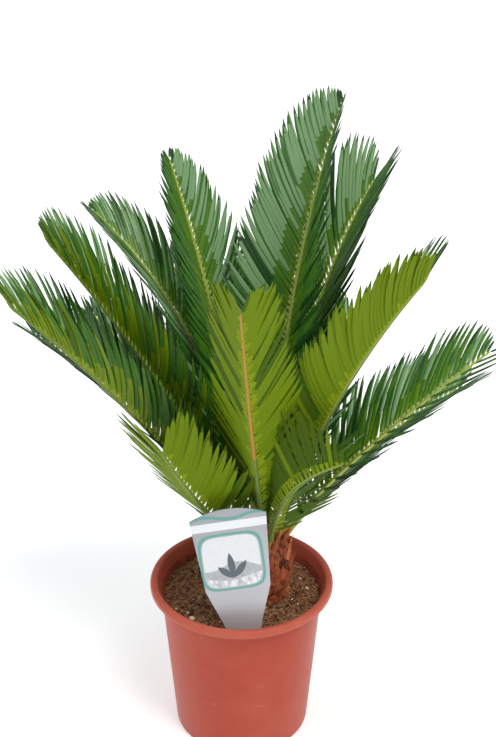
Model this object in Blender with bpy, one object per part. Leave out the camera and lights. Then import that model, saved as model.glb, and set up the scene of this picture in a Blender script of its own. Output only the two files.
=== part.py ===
"""Sago palm in a round nursery pot, as separate closed solids.

Metres, +Z up. The origin is the centre of the pot's flat underside. The plant label stands
at the front, on the -Y side, and +X is to the right of it. The pot, the soil, the label and
the trunk are one solid each, and so is each frond: a rib with two rows of broad leaflets that
are cut apart down to the rib.
"""
import math
from typing import NamedTuple

import bmesh
import bpy
from mathutils import Matrix, Vector
from mathutils.bvhtree import BVHTree

# Gap left between neighbouring solids
GAP = 0.0003

# Pot
POT_HEIGHT = 0.158
POT_BASE_RADIUS = 0.063
POT_NECK_RADIUS = 0.0748
POT_NECK_HEIGHT = 0.1445
RIM_RADIUS = 0.085
RIM_TOP_WIDTH = 0.0075
RIM_FLARE_HEIGHT = 0.0072
RIM_FLARE_STEPS = 3
RIM_ROLL_ANGLE = math.radians(160)
RIM_ROLL_STEPS = 5
POT_WALL = 0.0015
POT_FLOOR = 0.0025
POT_EDGE = 0.003
POT_SIDES = 48
DRAIN_HOLES = 6
DRAIN_RADIUS = 0.0045
DRAIN_CIRCLE = 0.043
DRAIN_SIDES = 12

# Soil
SOIL_TOP = 0.142
SOIL_FLAT_RADIUS = 0.056
SOIL_EDGE_DROP = 0.002

# Trunk: a short bulb with rows of old leaf bases, leaning a little to the right
TRUNK_FOOT = Vector((0.018, 0.000, SOIL_TOP + GAP))
CROWN_CENTRE = Vector((0.022, 0.002, 0.188))
CROWN_RADIUS = 0.0225
TRUNK_FLARE_RADIUS = 0.0245
TRUNK_WAIST_RADIUS = 0.0225
TRUNK_BELLY_RADIUS = 0.0260
TRUNK_WAIST = 0.10
TRUNK_BELLY = 0.55
TRUNK_RINGS = 11
TRUNK_SIDES = 32
LEAF_BASES_ROUND = 8
LEAF_BASE_ROWS = 5
LEAF_BASE_DEPTH = 0.0022
DOME_RINGS = 5

# Plant label
LABEL_FOOT = Vector((0.003, -0.062, SOIL_TOP))
LABEL_TOP_WIDTH = 0.068
LABEL_SHOULDER_WIDTH = 0.058
LABEL_NECK_WIDTH = 0.036
LABEL_STAKE_WIDTH = 0.014
LABEL_HEIGHT = 0.125
LABEL_SIDE_HEIGHT = 0.117
LABEL_SHOULDER_HEIGHT = 0.045
LABEL_NECK_HEIGHT = 0.012
LABEL_STAKE_DEPTH = 0.032
LABEL_THICKNESS = 0.0008
LABEL_LEAN = math.radians(6)
LABEL_TILT = math.radians(7)
LABEL_TURN = math.radians(3)
LABEL_ARC_STEPS = 8

# Leaflets of the fronds
LEAFLET_PITCH = 0.0180
LEAFLET_SHARE_OF_PITCH = 0.84
LEAFLET_ROOT_SHARE = 0.62
LEAFLET_SHOULDER = 0.62
LEAFLET_THICKNESS = 0.0011
LEAFLET_CURL = 0.16
SHORTER_TRIES = (1.0, 0.85, 0.7, 0.55, 0.4)
TEST_MARGIN = 0.0004

# Angle between a leaflet and the rib, which closes towards the frond's tip
LEAFLET_BASE_ANGLE = 60
LEAFLET_TIP_ANGLE = 26
ANGLE_EASE = 0.8

# Leaflet length along the leafy part: short at the base, full, then shorter to the tip
FIRST_LEAFLET_SHARE = 0.34
LOSS_EASE = 3.0

# Rib of a frond: a three-sided bar, flat on its upper face
PETIOLE_SHARE = 0.11
RIB_BASE_SIZE = 0.0050
RIB_TIP_SIZE = 0.0018
RIB_FACE_SHARE = 0.35
RIB_KEEL_SHARE = 0.50
CURVE_STEPS = 120
DROOP_EASE = 1.4
SWEEP_EASE = 1.2
START_STEP = 0.0001

GREEN = (0.045, 0.150, 0.022)
BARK = (0.190, 0.070, 0.035)
PEAT = (0.075, 0.040, 0.022)
TERRACOTTA = (0.560, 0.130, 0.070)
CARD = (0.620, 0.620, 0.640)


class Frond(NamedTuple):
    """How one frond grows out of the crown; angles are in degrees."""

    name: str
    heading: float  # round from +X, the way it grows
    lift: float  # how high up the crown's dome its stem starts
    rise: float  # above level at its stem
    droop: float  # how much of that is lost by its tip
    length: float
    sweep: float = 0.0  # how far the heading has turned by its tip
    roll: float = 0.0  # how far the blade is turned about its rib
    twist: float = 0.0  # how much further it is turned by its tip
    keel: float = 38.0  # how far each row of leaflets stands up from flat
    leaflet: float = 0.087  # longest leaflet
    spread: float = 0.0  # how much wider than usual the leaflets stand off the rib
    full_from: float = 0.20  # where along the leafy part they reach their full length
    full_until: float = 0.50  # where along the leafy part they begin to shorten
    tip_loss: float = 0.80  # how much of their length is lost by its end
    lost: float = 0.0  # share of the right-hand leaflets that are missing


FRONDS = (
    Frond("left_low", 181, 24, 57, 16, 0.311,
          sweep=-2, roll=11, keel=50, leaflet=0.091, spread=3, tip_loss=0.70),
    Frond("left_middle", 177, 52, 64.5, 14, 0.334,
          sweep=-4, roll=14, keel=48, leaflet=0.086, full_until=0.57),
    Frond("left_back", 149, 46, 80, 49, 0.338,
          roll=-8, twist=14, keel=28, leaflet=0.083, spread=-7, full_until=0.50, tip_loss=0.95),
    Frond("back_left", 133, 68, 75, 11, 0.348,
          roll=-5, keel=31, leaflet=0.078, spread=-3, full_until=0.36, tip_loss=0.89),
    Frond("top", 71, 74, 80, 9, 0.398,
          sweep=-48, roll=4, keel=42, leaflet=0.091, spread=3, full_until=0.46, tip_loss=0.94),
    Frond("top_right", 47, 54, 84, 37, 0.338,
          sweep=-5, roll=12, twist=-20, keel=33, leaflet=0.098, spread=-5, full_until=0.67, tip_loss=0.85),
    Frond("front", 259, 70, 65.5, -3, 0.309, sweep=3, keel=45, leaflet=0.077, spread=1, full_until=0.64),
    Frond("right_front", 320, 56, 71.5, 16, 0.325,
          sweep=12, roll=-8, keel=41, leaflet=0.090, spread=-2, full_until=0.58, tip_loss=0.64),
    Frond("right_low", 350, 55, 53.5, 20, 0.262,
          sweep=25, roll=8, keel=23, leaflet=0.078, spread=4, full_from=0.30, tip_loss=0.92, lost=0.67),
    Frond("right_front_low", 283, 46, 68, 37, 0.166,
          sweep=49, roll=-34, keel=50, leaflet=0.070, spread=36, full_from=0.05, full_until=0.57),
    Frond("left_front_low", 212, 20, 52, -13, 0.156,
          roll=34, keel=29, leaflet=0.072, spread=8, full_until=0.77, tip_loss=0.83),
    Frond("back", 92, 48, 58, 36, 0.250),
    Frond("back_left_middle", 118, 44, 61, 30, 0.270),
    Frond("back_low", 68, 24, 46, 34, 0.250),
    Frond("back_left_low", 134, 22, 46, 30, 0.270),
    Frond("back_right_low", 28, 24, 40, 26, 0.220),
    Frond("left_back_low", 158, 26, 48, 22, 0.270),
)


def clear_scene():
    """Remove whatever the open scene holds."""
    for scene_object in list(bpy.data.objects):
        bpy.data.objects.remove(scene_object, do_unlink=True)


def make_material(name, colour, roughness, metallic=0.0):
    """A Principled BSDF with one colour and finish."""
    material = bpy.data.materials.new(name)
    material.use_nodes = True
    shader = material.node_tree.nodes["Principled BSDF"]
    shader.inputs["Base Color"].default_value = (*colour, 1.0)
    shader.inputs["Roughness"].default_value = roughness
    shader.inputs["Metallic"].default_value = metallic
    return material


def finish_object(name, bm, colour, roughness, smooth_angle=None):
    """Turn a bmesh into a named object with its own material."""
    bmesh.ops.recalc_face_normals(bm, faces=bm.faces)
    mesh = bpy.data.meshes.new(name)
    bm.to_mesh(mesh)
    bm.free()
    if smooth_angle is not None:
        mesh.shade_smooth()
        mesh.set_sharp_from_angle(angle=math.radians(smooth_angle))
    mesh.materials.append(make_material(name, colour, roughness))
    scene_object = bpy.data.objects.new(name, mesh)
    bpy.context.scene.collection.objects.link(scene_object)
    return scene_object


def tree_of(scene_object):
    """A search tree over an object's faces as they are evaluated."""
    graph = bpy.context.evaluated_depsgraph_get()
    return BVHTree.FromObject(scene_object, graph)


def join_rings(bm, rings):
    """Skin rings of vertices; a ring of one vertex is a pole."""
    for lower, upper in zip(rings, rings[1:]):
        count = max(len(lower), len(upper))
        for i in range(count):
            j = (i + 1) % count
            if len(lower) == 1:
                bm.faces.new((lower[0], upper[j], upper[i]))
            elif len(upper) == 1:
                bm.faces.new((lower[i], lower[j], upper[0]))
            else:
                bm.faces.new((lower[i], lower[j], upper[j], upper[i]))


def turned(profile, sides):
    """A bmesh turned round Z from (radius, height) points, starting and ending on the axis."""
    bm = bmesh.new()
    rings = []
    for radius, height in profile:
        if radius == 0.0:
            rings.append([bm.verts.new((0.0, 0.0, height))])
            continue
        angles = [2.0 * math.pi * i / sides for i in range(sides)]
        rings.append([bm.verts.new((radius * math.cos(a), radius * math.sin(a), height)) for a in angles])
    join_rings(bm, rings)
    return bm


def outer_radius(height):
    """Radius of the pot's outer wall below its rim."""
    share = (height - POT_EDGE) / (POT_NECK_HEIGHT - POT_EDGE)
    return POT_BASE_RADIUS + (POT_NECK_RADIUS - POT_BASE_RADIUS) * share


def inner_radius(height):
    """Radius of the pot's inner wall."""
    return outer_radius(height) - POT_WALL


def rim_profile():
    """The rolled rim in section, from the neck outside to the neck inside."""
    points = []
    for i in range(RIM_FLARE_STEPS + 1):
        share = i / RIM_FLARE_STEPS
        widened = 0.5 - 0.5 * math.cos(math.pi * share)
        radius = POT_NECK_RADIUS + (RIM_RADIUS - POT_NECK_RADIUS) * widened
        points.append((radius, POT_NECK_HEIGHT + RIM_FLARE_HEIGHT * share))
    half = RIM_TOP_WIDTH / 2.0
    for i in range(RIM_ROLL_STEPS + 1):
        angle = RIM_ROLL_ANGLE * i / RIM_ROLL_STEPS
        radius = RIM_RADIUS - half + half * math.cos(angle)
        points.append((radius, POT_HEIGHT - half + half * math.sin(angle)))
    return points + [(inner_radius(POT_NECK_HEIGHT), POT_NECK_HEIGHT)]


def make_pot():
    """The thin-walled pot with its rolled rim and drain holes."""
    profile = [(0.0, 0.0), (POT_BASE_RADIUS - POT_EDGE, 0.0), (POT_BASE_RADIUS, POT_EDGE)]
    profile += rim_profile()
    profile += [(inner_radius(POT_FLOOR), POT_FLOOR), (0.0, POT_FLOOR)]
    pot = finish_object("pot", turned(profile, POT_SIDES), TERRACOTTA, 0.42, smooth_angle=40)
    cut_drain_holes(pot)
    return pot


def cut_drain_holes(pot):
    """Cut a ring of round holes through the pot's floor."""
    bm = bmesh.new()
    for i in range(DRAIN_HOLES):
        angle = 2.0 * math.pi * (i + 0.5) / DRAIN_HOLES
        place = Matrix.Translation((DRAIN_CIRCLE * math.cos(angle), DRAIN_CIRCLE * math.sin(angle), 0.0))
        bmesh.ops.create_cone(bm, cap_ends=True, segments=DRAIN_SIDES, radius1=DRAIN_RADIUS,
                              radius2=DRAIN_RADIUS, depth=4.0 * POT_FLOOR, matrix=place)
    add_cut(pot, "drain_cutter", bm)


def add_cut(scene_object, cutter_name, bm):
    """Subtract a bmesh from an object with a live Boolean."""
    cutter = finish_object(cutter_name, bm, PEAT, 1.0)
    cutter.hide_render = True
    cutter.display_type = "WIRE"
    cut = scene_object.modifiers.new(cutter_name, "BOOLEAN")
    cut.operation = "DIFFERENCE"
    cut.solver = "EXACT"
    cut.object = cutter


def make_soil():
    """The soil that fills the pot, level under the trunk and lower by the wall."""
    bottom = POT_FLOOR + GAP
    edge = SOIL_TOP - SOIL_EDGE_DROP
    profile = [
        (0.0, bottom),
        (inner_radius(bottom) - GAP, bottom),
        (inner_radius(edge) - GAP, edge),
        (SOIL_FLAT_RADIUS, SOIL_TOP),
        (0.0, SOIL_TOP),
    ]
    soil = finish_object("soil", turned(profile, POT_SIDES), PEAT, 0.95)
    slot = label_plate(GAP)
    add_cut(soil, "label_slot_cutter", slot)
    return soil


def label_half_outline(margin):
    """Right half of the label's outline, from the stake's tip to the top of its side."""
    return [
        (LABEL_STAKE_WIDTH / 2.0 + margin, -LABEL_STAKE_DEPTH - margin),
        (LABEL_NECK_WIDTH / 2.0 + margin, LABEL_NECK_HEIGHT),
        (LABEL_SHOULDER_WIDTH / 2.0 + margin, LABEL_SHOULDER_HEIGHT),
        (LABEL_TOP_WIDTH / 2.0 + margin, LABEL_SIDE_HEIGHT),
    ]


def label_outline(margin):
    """The whole outline: a stake, a tapering card and an arched top edge."""
    right = label_half_outline(margin)
    half_width, side_height = right[-1]
    arch = LABEL_HEIGHT - LABEL_SIDE_HEIGHT
    top = []
    for i in range(1, LABEL_ARC_STEPS):
        across = 1.0 - 2.0 * i / LABEL_ARC_STEPS
        top.append((half_width * across, side_height + arch * (1.0 - across * across)))
    left = [(-across, along) for across, along in reversed(right)]
    return right + top + left


def label_matrix():
    """Where the label stands: leaning back, tilted in its own plane and turned a little."""
    lean = Matrix.Rotation(-LABEL_LEAN, 4, "X")
    tilt = Matrix.Rotation(-LABEL_TILT, 4, "Y")
    turn = Matrix.Rotation(LABEL_TURN, 4, "Z")
    return Matrix.Translation(LABEL_FOOT) @ turn @ lean @ tilt


def label_plate(margin=0.0):
    """The label as a flat plate, or the space for it when it has a margin."""
    bm = bmesh.new()
    half = LABEL_THICKNESS / 2.0 + margin
    place = label_matrix()
    outline = label_outline(margin)
    front = [bm.verts.new(place @ Vector((across, -half, along))) for across, along in outline]
    back = [bm.verts.new(place @ Vector((across, half, along))) for across, along in outline]
    bm.faces.new(front)
    bm.faces.new(list(reversed(back)))
    count = len(outline)
    for i in range(count):
        j = (i + 1) % count
        bm.faces.new((front[i], back[i], back[j], front[j]))
    return bm


def make_label():
    """The plastic plant label, its stake in the soil."""
    return finish_object("label", label_plate(), CARD, 0.4)


def trunk_radius(share):
    """Radius of the trunk at a share of the way from the ground to the crown's dome."""
    if share < TRUNK_WAIST:
        blend = share / TRUNK_WAIST
        return TRUNK_FLARE_RADIUS + (TRUNK_WAIST_RADIUS - TRUNK_FLARE_RADIUS) * blend
    if share < TRUNK_BELLY:
        blend = math.sin(0.5 * math.pi * (share - TRUNK_WAIST) / (TRUNK_BELLY - TRUNK_WAIST))
        return TRUNK_WAIST_RADIUS + (TRUNK_BELLY_RADIUS - TRUNK_WAIST_RADIUS) * blend
    blend = 0.5 - 0.5 * math.cos(math.pi * (share - TRUNK_BELLY) / (1.0 - TRUNK_BELLY))
    return TRUNK_BELLY_RADIUS + (CROWN_RADIUS - TRUNK_BELLY_RADIUS) * blend


def leaf_base_relief(angle, share):
    """How far the old leaf bases stand out, in rows that are set half a step apart."""
    row = share * LEAF_BASE_ROWS
    shift = 0.5 * math.pi * (math.floor(row) % 2)
    round_trunk = abs(math.cos(0.5 * LEAF_BASES_ROUND * angle + shift))
    up_row = math.sin(math.pi * (row - math.floor(row)))
    return LEAF_BASE_DEPTH * round_trunk * up_row


def trunk_ring(bm, share):
    """One ring of the trunk's side."""
    centre = TRUNK_FOOT.lerp(CROWN_CENTRE, share)
    ring = []
    for i in range(TRUNK_SIDES):
        angle = 2.0 * math.pi * i / TRUNK_SIDES
        radius = trunk_radius(share) + leaf_base_relief(angle, share)
        ring.append(bm.verts.new(centre + radius * Vector((math.cos(angle), math.sin(angle), 0.0))))
    return ring


def make_trunk():
    """The trunk, cut flat at the soil and rounded over at its crown."""
    bm = bmesh.new()
    rings = [trunk_ring(bm, i / (TRUNK_RINGS - 1)) for i in range(TRUNK_RINGS)]
    for i in range(1, DOME_RINGS):
        up = 0.5 * math.pi * i / DOME_RINGS
        radius = CROWN_RADIUS * math.cos(up)
        centre = CROWN_CENTRE + Vector((0.0, 0.0, CROWN_RADIUS * math.sin(up)))
        angles = [2.0 * math.pi * j / TRUNK_SIDES for j in range(TRUNK_SIDES)]
        around = [Vector((math.cos(a), math.sin(a), 0.0)) for a in angles]
        rings.append([bm.verts.new(centre + radius * out) for out in around])
    rings.append([bm.verts.new(CROWN_CENTRE + Vector((0.0, 0.0, CROWN_RADIUS)))])
    join_rings(bm, rings)
    bm.faces.new(list(reversed(rings[0])))
    return finish_object("trunk", bm, BARK, 0.9, smooth_angle=50)


def direction(heading, rise):
    """Unit vector from a heading round +X and a rise above level, both in degrees."""
    turn = math.radians(heading)
    up = math.radians(rise)
    return Vector((math.cos(up) * math.cos(turn), math.cos(up) * math.sin(turn), math.sin(up)))


def frond_frame(frond, share):
    """Growing direction, right-hand side and upper face of a frond at a share of its length."""
    heading = frond.heading + frond.sweep * share ** SWEEP_EASE
    rise = frond.rise - frond.droop * share ** DROOP_EASE
    along = direction(heading, rise)
    turn = math.radians(heading)
    side = Vector((math.sin(turn), -math.cos(turn), 0.0))
    face = side.cross(along)
    tilt = Matrix.Rotation(math.radians(frond.roll + frond.twist * share), 3, along)
    return along, tilt @ side, tilt @ face


def frond_curve(frond, start):
    """Points evenly along the rib, found by stepping along its direction."""
    points = [start.copy()]
    step = frond.length / CURVE_STEPS
    for i in range(CURVE_STEPS):
        along = frond_frame(frond, (i + 0.5) / CURVE_STEPS)[0]
        points.append(points[-1] + step * along)
    return points


def curve_point(points, share):
    """The point at a share of a curve's length."""
    place = min(max(share, 0.0), 1.0) * CURVE_STEPS
    index = min(int(place), CURVE_STEPS - 1)
    return points[index].lerp(points[index + 1], place - index)


def rib_corners(frond, centre, share):
    """The rib's section round a centre: upper left, upper right and keel."""
    along, side, face = frond_frame(frond, share)
    size = RIB_BASE_SIZE + (RIB_TIP_SIZE - RIB_BASE_SIZE) * share
    upper = centre + RIB_FACE_SHARE * size * face
    return [upper - 0.5 * size * side, upper + 0.5 * size * side, centre - RIB_KEEL_SHARE * size * face]


def frond_start(frond, trunk_tree):
    """The nearest start to the crown's dome that leaves the whole stem end its gap."""
    distance = CROWN_RADIUS
    outward = direction(frond.heading, frond.lift)
    while True:
        start = CROWN_CENTRE + distance * outward
        corners = rib_corners(frond, start, 0.0)
        nearest = min(trunk_tree.find_nearest(corner)[3] for corner in corners)
        outside = all((corner - CROWN_CENTRE).length > CROWN_RADIUS for corner in corners)
        if outside and nearest > GAP:
            return start
        distance += START_STEP


def leaflet_length(frond, share):
    """Length of a leaflet at a share of the leafy part of the rib."""
    young = min(1.0, FIRST_LEAFLET_SHARE + (1.0 - FIRST_LEAFLET_SHARE) * share / frond.full_from)
    past = max(0.0, (share - frond.full_until) / (1.0 - frond.full_until))
    return frond.leaflet * young * (1.0 - frond.tip_loss * past ** LOSS_EASE)


def leaflet_angle(frond, share):
    """Angle between a leaflet and the rib."""
    closed = (LEAFLET_TIP_ANGLE - LEAFLET_BASE_ANGLE) * share ** ANGLE_EASE
    return math.radians(LEAFLET_BASE_ANGLE + frond.spread + closed)


def leaflet_count(frond):
    """Leaflets in each row."""
    return round(frond.length * (1.0 - PETIOLE_SHARE) / LEAFLET_PITCH)


def is_lost(frond, row, index):
    """Whether a leaflet is missing; the gaps are spread evenly along the right-hand row."""
    return row > 0 and int((index + 1) * frond.lost) > int(index * frond.lost)


def leaflet_points(frond, points, row, index, scale, margin=0.0):
    """Shoulder ring and tip of a leaflet; row is -1 on the left and 1 on the right."""
    count = leaflet_count(frond)
    share = (index + 0.5) / count
    rib_share = PETIOLE_SHARE + (1.0 - PETIOLE_SHARE) * share
    along, side, face = frond_frame(frond, rib_share)
    keel = math.radians(frond.keel)
    angle = leaflet_angle(frond, share)
    outward = math.cos(keel) * row * side + math.sin(keel) * face
    normal = math.cos(keel) * face - math.sin(keel) * row * side
    aim = math.cos(angle) * along + math.sin(angle) * outward
    forward = (along - along.dot(aim) * aim).normalized()
    length = scale * leaflet_length(frond, share)
    pitch = frond.length * (1.0 - PETIOLE_SHARE) / count
    half_width = 0.5 * LEAFLET_SHARE_OF_PITCH * pitch * math.sin(angle) + margin
    half_thickness = 0.5 * LEAFLET_THICKNESS + margin
    root = curve_point(points, rib_share)
    shoulder = root + LEAFLET_SHOULDER * length * aim
    bend = (aim + LEAFLET_CURL * along - 0.5 * LEAFLET_CURL * normal).normalized()
    tip = shoulder + (1.0 - LEAFLET_SHOULDER) * length * bend
    ring = [
        shoulder - half_width * forward + half_thickness * normal,
        shoulder - half_width * forward - half_thickness * normal,
        shoulder + half_width * forward - half_thickness * normal,
        shoulder + half_width * forward + half_thickness * normal,
    ]
    return ring, tip


def ring_shares(frond):
    """Places of the rib's rings: two for each pair of leaflets, one at each end."""
    count = leaflet_count(frond)
    leafy = 1.0 - PETIOLE_SHARE
    half = 0.5 * LEAFLET_ROOT_SHARE / count
    shares = [0.0]
    for i in range(count):
        middle = (i + 0.5) / count
        shares.append(PETIOLE_SHARE + leafy * (middle - half))
        shares.append(PETIOLE_SHARE + leafy * (middle + half))
    return shares


def rib_rings(frond, points):
    """The rib's sections along its curve."""
    return [rib_corners(frond, curve_point(points, share), share) for share in ring_shares(frond)]


def leaflet_root(rings, row, index):
    """The four corners of the rib face that a leaflet grows from."""
    upper = 1 if row > 0 else 0
    rear = rings[1 + 2 * index]
    front = rings[2 + 2 * index]
    return [rear[upper], rear[2], front[2], front[upper]]


def leaflet_tree(root, ring, tip):
    """A search tree over one leaflet, closed at its root."""
    corners = root + ring + [tip]
    faces = [(3, 2, 1, 0)]
    for i in range(4):
        j = (i + 1) % 4
        faces.append((i, j, 4 + j, 4 + i))
        faces.append((4 + i, 4 + j, 8))
    return BVHTree.FromPolygons(corners, faces)


def rib_tree(rings):
    """A search tree over a whole bare rib."""
    corners = [corner for ring in rings for corner in ring]
    faces = [(0, 1, 2)]
    for k in range(len(rings) - 1):
        for i in range(3):
            j = (i + 1) % 3
            faces.append((3 * k + i, 3 * k + j, 3 * k + 3 + j, 3 * k + 3 + i))
    return BVHTree.FromPolygons(corners, faces)


def fit_leaflet(frond, points, rings, row, index, blocked):
    """The longest leaflet that touches nothing, or None."""
    root = leaflet_root(rings, row, index)
    for scale in SHORTER_TRIES:
        wide_ring, wide_tip = leaflet_points(frond, points, row, index, scale, TEST_MARGIN)
        trial = leaflet_tree(root, wide_ring, wide_tip)
        if not any(trial.overlap(tree) for tree in blocked):
            return leaflet_points(frond, points, row, index, scale)
    return None


def skin_rib_step(bm, rear, front, open_rows):
    """Side faces between two rib rings, left open where a leaflet grows."""
    for i, j, row in ((0, 1, 0), (1, 2, 1), (2, 0, -1)):
        if row not in open_rows:
            bm.faces.new((rear[i], rear[j], front[j], front[i]))


def skin_leaflet(bm, root, leaflet):
    """Faces of one leaflet, from its root on the rib to its tip."""
    ring, tip = leaflet
    ring_verts = [bm.verts.new(corner) for corner in ring]
    tip_vert = bm.verts.new(tip)
    for i in range(4):
        j = (i + 1) % 4
        bm.faces.new((root[i], root[j], ring_verts[j], ring_verts[i]))
        bm.faces.new((ring_verts[i], ring_verts[j], tip_vert))


def make_frond(frond, points, rib, leaflets):
    """One closed solid: the rib with the leaflets that grow out of its sides."""
    bm = bmesh.new()
    rings = [[bm.verts.new(corner) for corner in ring] for ring in rib]
    tip = bm.verts.new(points[-1])
    bm.faces.new((rings[0][2], rings[0][1], rings[0][0]))
    for k in range(len(rings) - 1):
        index = (k - 1) // 2
        grows = {row for row in (-1, 1) if k % 2 == 1 and (row, index) in leaflets}
        skin_rib_step(bm, rings[k], rings[k + 1], grows)
        for row in sorted(grows):
            skin_leaflet(bm, leaflet_root(rings, row, index), leaflets[(row, index)])
    for i in range(3):
        j = (i + 1) % 3
        bm.faces.new((rings[-1][i], rings[-1][j], tip))
    return finish_object("frond_" + frond.name, bm, GREEN, 0.45)


def make_fronds(solids):
    """Grow every frond round the crown, each leaflet clear of all that is there already."""
    trunk_tree = tree_of(solids["trunk"])
    fixed = [tree_of(solid) for solid in solids.values()]
    curves = {}
    ribs = {}
    for frond in FRONDS:
        start = frond_start(frond, trunk_tree)
        curves[frond] = frond_curve(frond, start)
        ribs[frond] = rib_rings(frond, curves[frond])
    rib_trees = {frond: rib_tree(ribs[frond]) for frond in FRONDS}
    grown = []
    for frond in FRONDS:
        blocked = fixed + grown + [rib_trees[other] for other in FRONDS if other is not frond]
        leaflets = {}
        for index in range(leaflet_count(frond)):
            for row in (-1, 1):
                if is_lost(frond, row, index):
                    continue
                leaflet = fit_leaflet(frond, curves[frond], ribs[frond], row, index, blocked)
                if leaflet:
                    leaflets[(row, index)] = leaflet
        grown.append(tree_of(make_frond(frond, curves[frond], ribs[frond], leaflets)))


def main():
    """Build the pot, what stands in it, and the fronds."""
    clear_scene()
    solids = {
        "pot": make_pot(),
        "soil": make_soil(),
        "label": make_label(),
        "trunk": make_trunk(),
    }
    make_fronds(solids)


main()
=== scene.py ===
"""Looks of a young sago palm in a terracotta-coloured nursery pot.

Metres, +Z up. The origin is the centre of the pot's flat underside, the plant label stands at
the front, on the -Y side, and +X is to the right of it. Each operator makes one piece of the
plant, or one group of like pieces, over the solids of the frame.
"""
import math
import random
from typing import NamedTuple

import bmesh
import bpy
from bpy.props import FloatProperty, FloatVectorProperty, IntProperty, PointerProperty
from bpy.types import Operator, Panel, PropertyGroup
from mathutils import Matrix, Vector, noise
from mathutils.bvhtree import BVHTree


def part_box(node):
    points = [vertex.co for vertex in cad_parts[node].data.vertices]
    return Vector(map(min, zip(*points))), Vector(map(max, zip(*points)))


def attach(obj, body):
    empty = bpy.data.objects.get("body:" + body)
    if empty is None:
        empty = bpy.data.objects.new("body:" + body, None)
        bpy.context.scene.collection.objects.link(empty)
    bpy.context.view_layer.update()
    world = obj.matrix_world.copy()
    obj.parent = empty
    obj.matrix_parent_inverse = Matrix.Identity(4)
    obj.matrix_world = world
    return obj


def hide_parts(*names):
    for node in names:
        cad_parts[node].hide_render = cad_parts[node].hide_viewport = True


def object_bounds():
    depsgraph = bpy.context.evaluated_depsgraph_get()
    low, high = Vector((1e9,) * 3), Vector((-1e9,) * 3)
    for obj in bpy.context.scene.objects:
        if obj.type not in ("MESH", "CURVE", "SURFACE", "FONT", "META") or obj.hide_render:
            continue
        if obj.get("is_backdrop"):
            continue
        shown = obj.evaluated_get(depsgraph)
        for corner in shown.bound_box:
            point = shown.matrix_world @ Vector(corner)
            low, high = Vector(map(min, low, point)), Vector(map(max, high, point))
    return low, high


bl_info = {
    "name": "Potted sago palm",
    "version": (1, 0, 0),
    "blender": (4, 5, 0),
    "location": "3D View > Sidebar > Palm",
    "description": "Builds a young sago palm with its pot, soil, plant label and studio",
    "category": "Add Mesh",
}

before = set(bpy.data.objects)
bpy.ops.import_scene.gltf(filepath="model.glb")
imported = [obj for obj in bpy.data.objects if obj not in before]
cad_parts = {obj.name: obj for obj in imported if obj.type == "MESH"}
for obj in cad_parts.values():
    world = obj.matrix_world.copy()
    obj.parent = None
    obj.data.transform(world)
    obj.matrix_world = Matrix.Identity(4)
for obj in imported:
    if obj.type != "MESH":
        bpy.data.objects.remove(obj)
cad_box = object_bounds()

BODY = "root"
POT_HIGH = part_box("pot")[1]
SOIL_LOW, SOIL_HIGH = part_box("soil")
FROND_NODES = sorted(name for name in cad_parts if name.startswith("frond_"))
UPWARD = Vector((0.0, 0.0, 1.0))
GAP = 0.0003  # left between pieces that would touch

# Pot
POT_EDGE = 0.003
FOOT_STEPS = 3
FLARE_LEAD = 0.001
RIM_FLARE_HEIGHT = 0.0072
RIM_FLARE_STEPS = 8
RIM_ROLL_ANGLE = math.radians(160)
RIM_ROLL_STEPS = 12
LEDGE_DROP = 0.0085
LEDGE_RISE = 0.0006
DRAIN_HOLES = 6
DRAIN_RADIUS = 0.0045
DRAIN_CIRCLE = 0.043
DRAIN_SIDES = 24
STAIN_DEPTH = 0.02

# Soil: level in the middle and a little lower at its edge
SOIL_SIDES = 220
SOIL_RINGS = 56
SOIL_FLAT_RADIUS = 0.056
SOIL_EDGE_DROP = 0.002
SOIL_SURFACE_DEPTH = 0.003  # corners less deep than this belong to the surface
LUMPS_PER_METRE = 55.0
GRAINS_PER_METRE = 320.0
CRUMB_SEED = 11
CRUMB_INSET = 0.001
CRUMB_SIZES = (0.35, 1.0)
CRUMB_TONES = (34, 40, 24, 1.2)
ROUND_CRUMB_SHARE = 0.86
SLIVER_STRETCH = (2.0, 4.0)
# Pale chips on the soil: X, Y, and half of their length and of their width
CHIPS = ((-0.045, -0.045, 0.0034, 0.0026), (-0.060, -0.028, 0.0016, 0.0012),
         (-0.049, -0.036, 0.0018, 0.0012), (0.052, -0.022, 0.0014, 0.0010),
         (0.030, 0.046, 0.0026, 0.0018), (-0.022, 0.052, 0.0018, 0.0014))
CHIP_TONE = 3

# Trunk: a short bulb with rows of old leaf bases, leaning a little to the right
TRUNK_FOOT = Vector((0.018, 0.000, SOIL_HIGH.z + GAP))
CROWN_CENTRE = Vector((0.022, 0.002, 0.188))
CROWN_RADIUS = 0.0225
TRUNK_FLARE_RADIUS = 0.0245
TRUNK_WAIST_RADIUS = 0.0225
TRUNK_BELLY_RADIUS = 0.0260
TRUNK_WAIST = 0.10
TRUNK_BELLY = 0.55
TRUNK_SIDES = 120
TRUNK_RINGS = 40
DOME_RINGS = 14
LEAF_BASES_ROUND = 8
LEAF_BASE_ROWS = 5
LEAF_BASE_DEPTH = 0.0022
RELIEF_SHARE = 0.55
BARK_STREAKS = 0.0006
BARK_GRAIN = 0.0005

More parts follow.
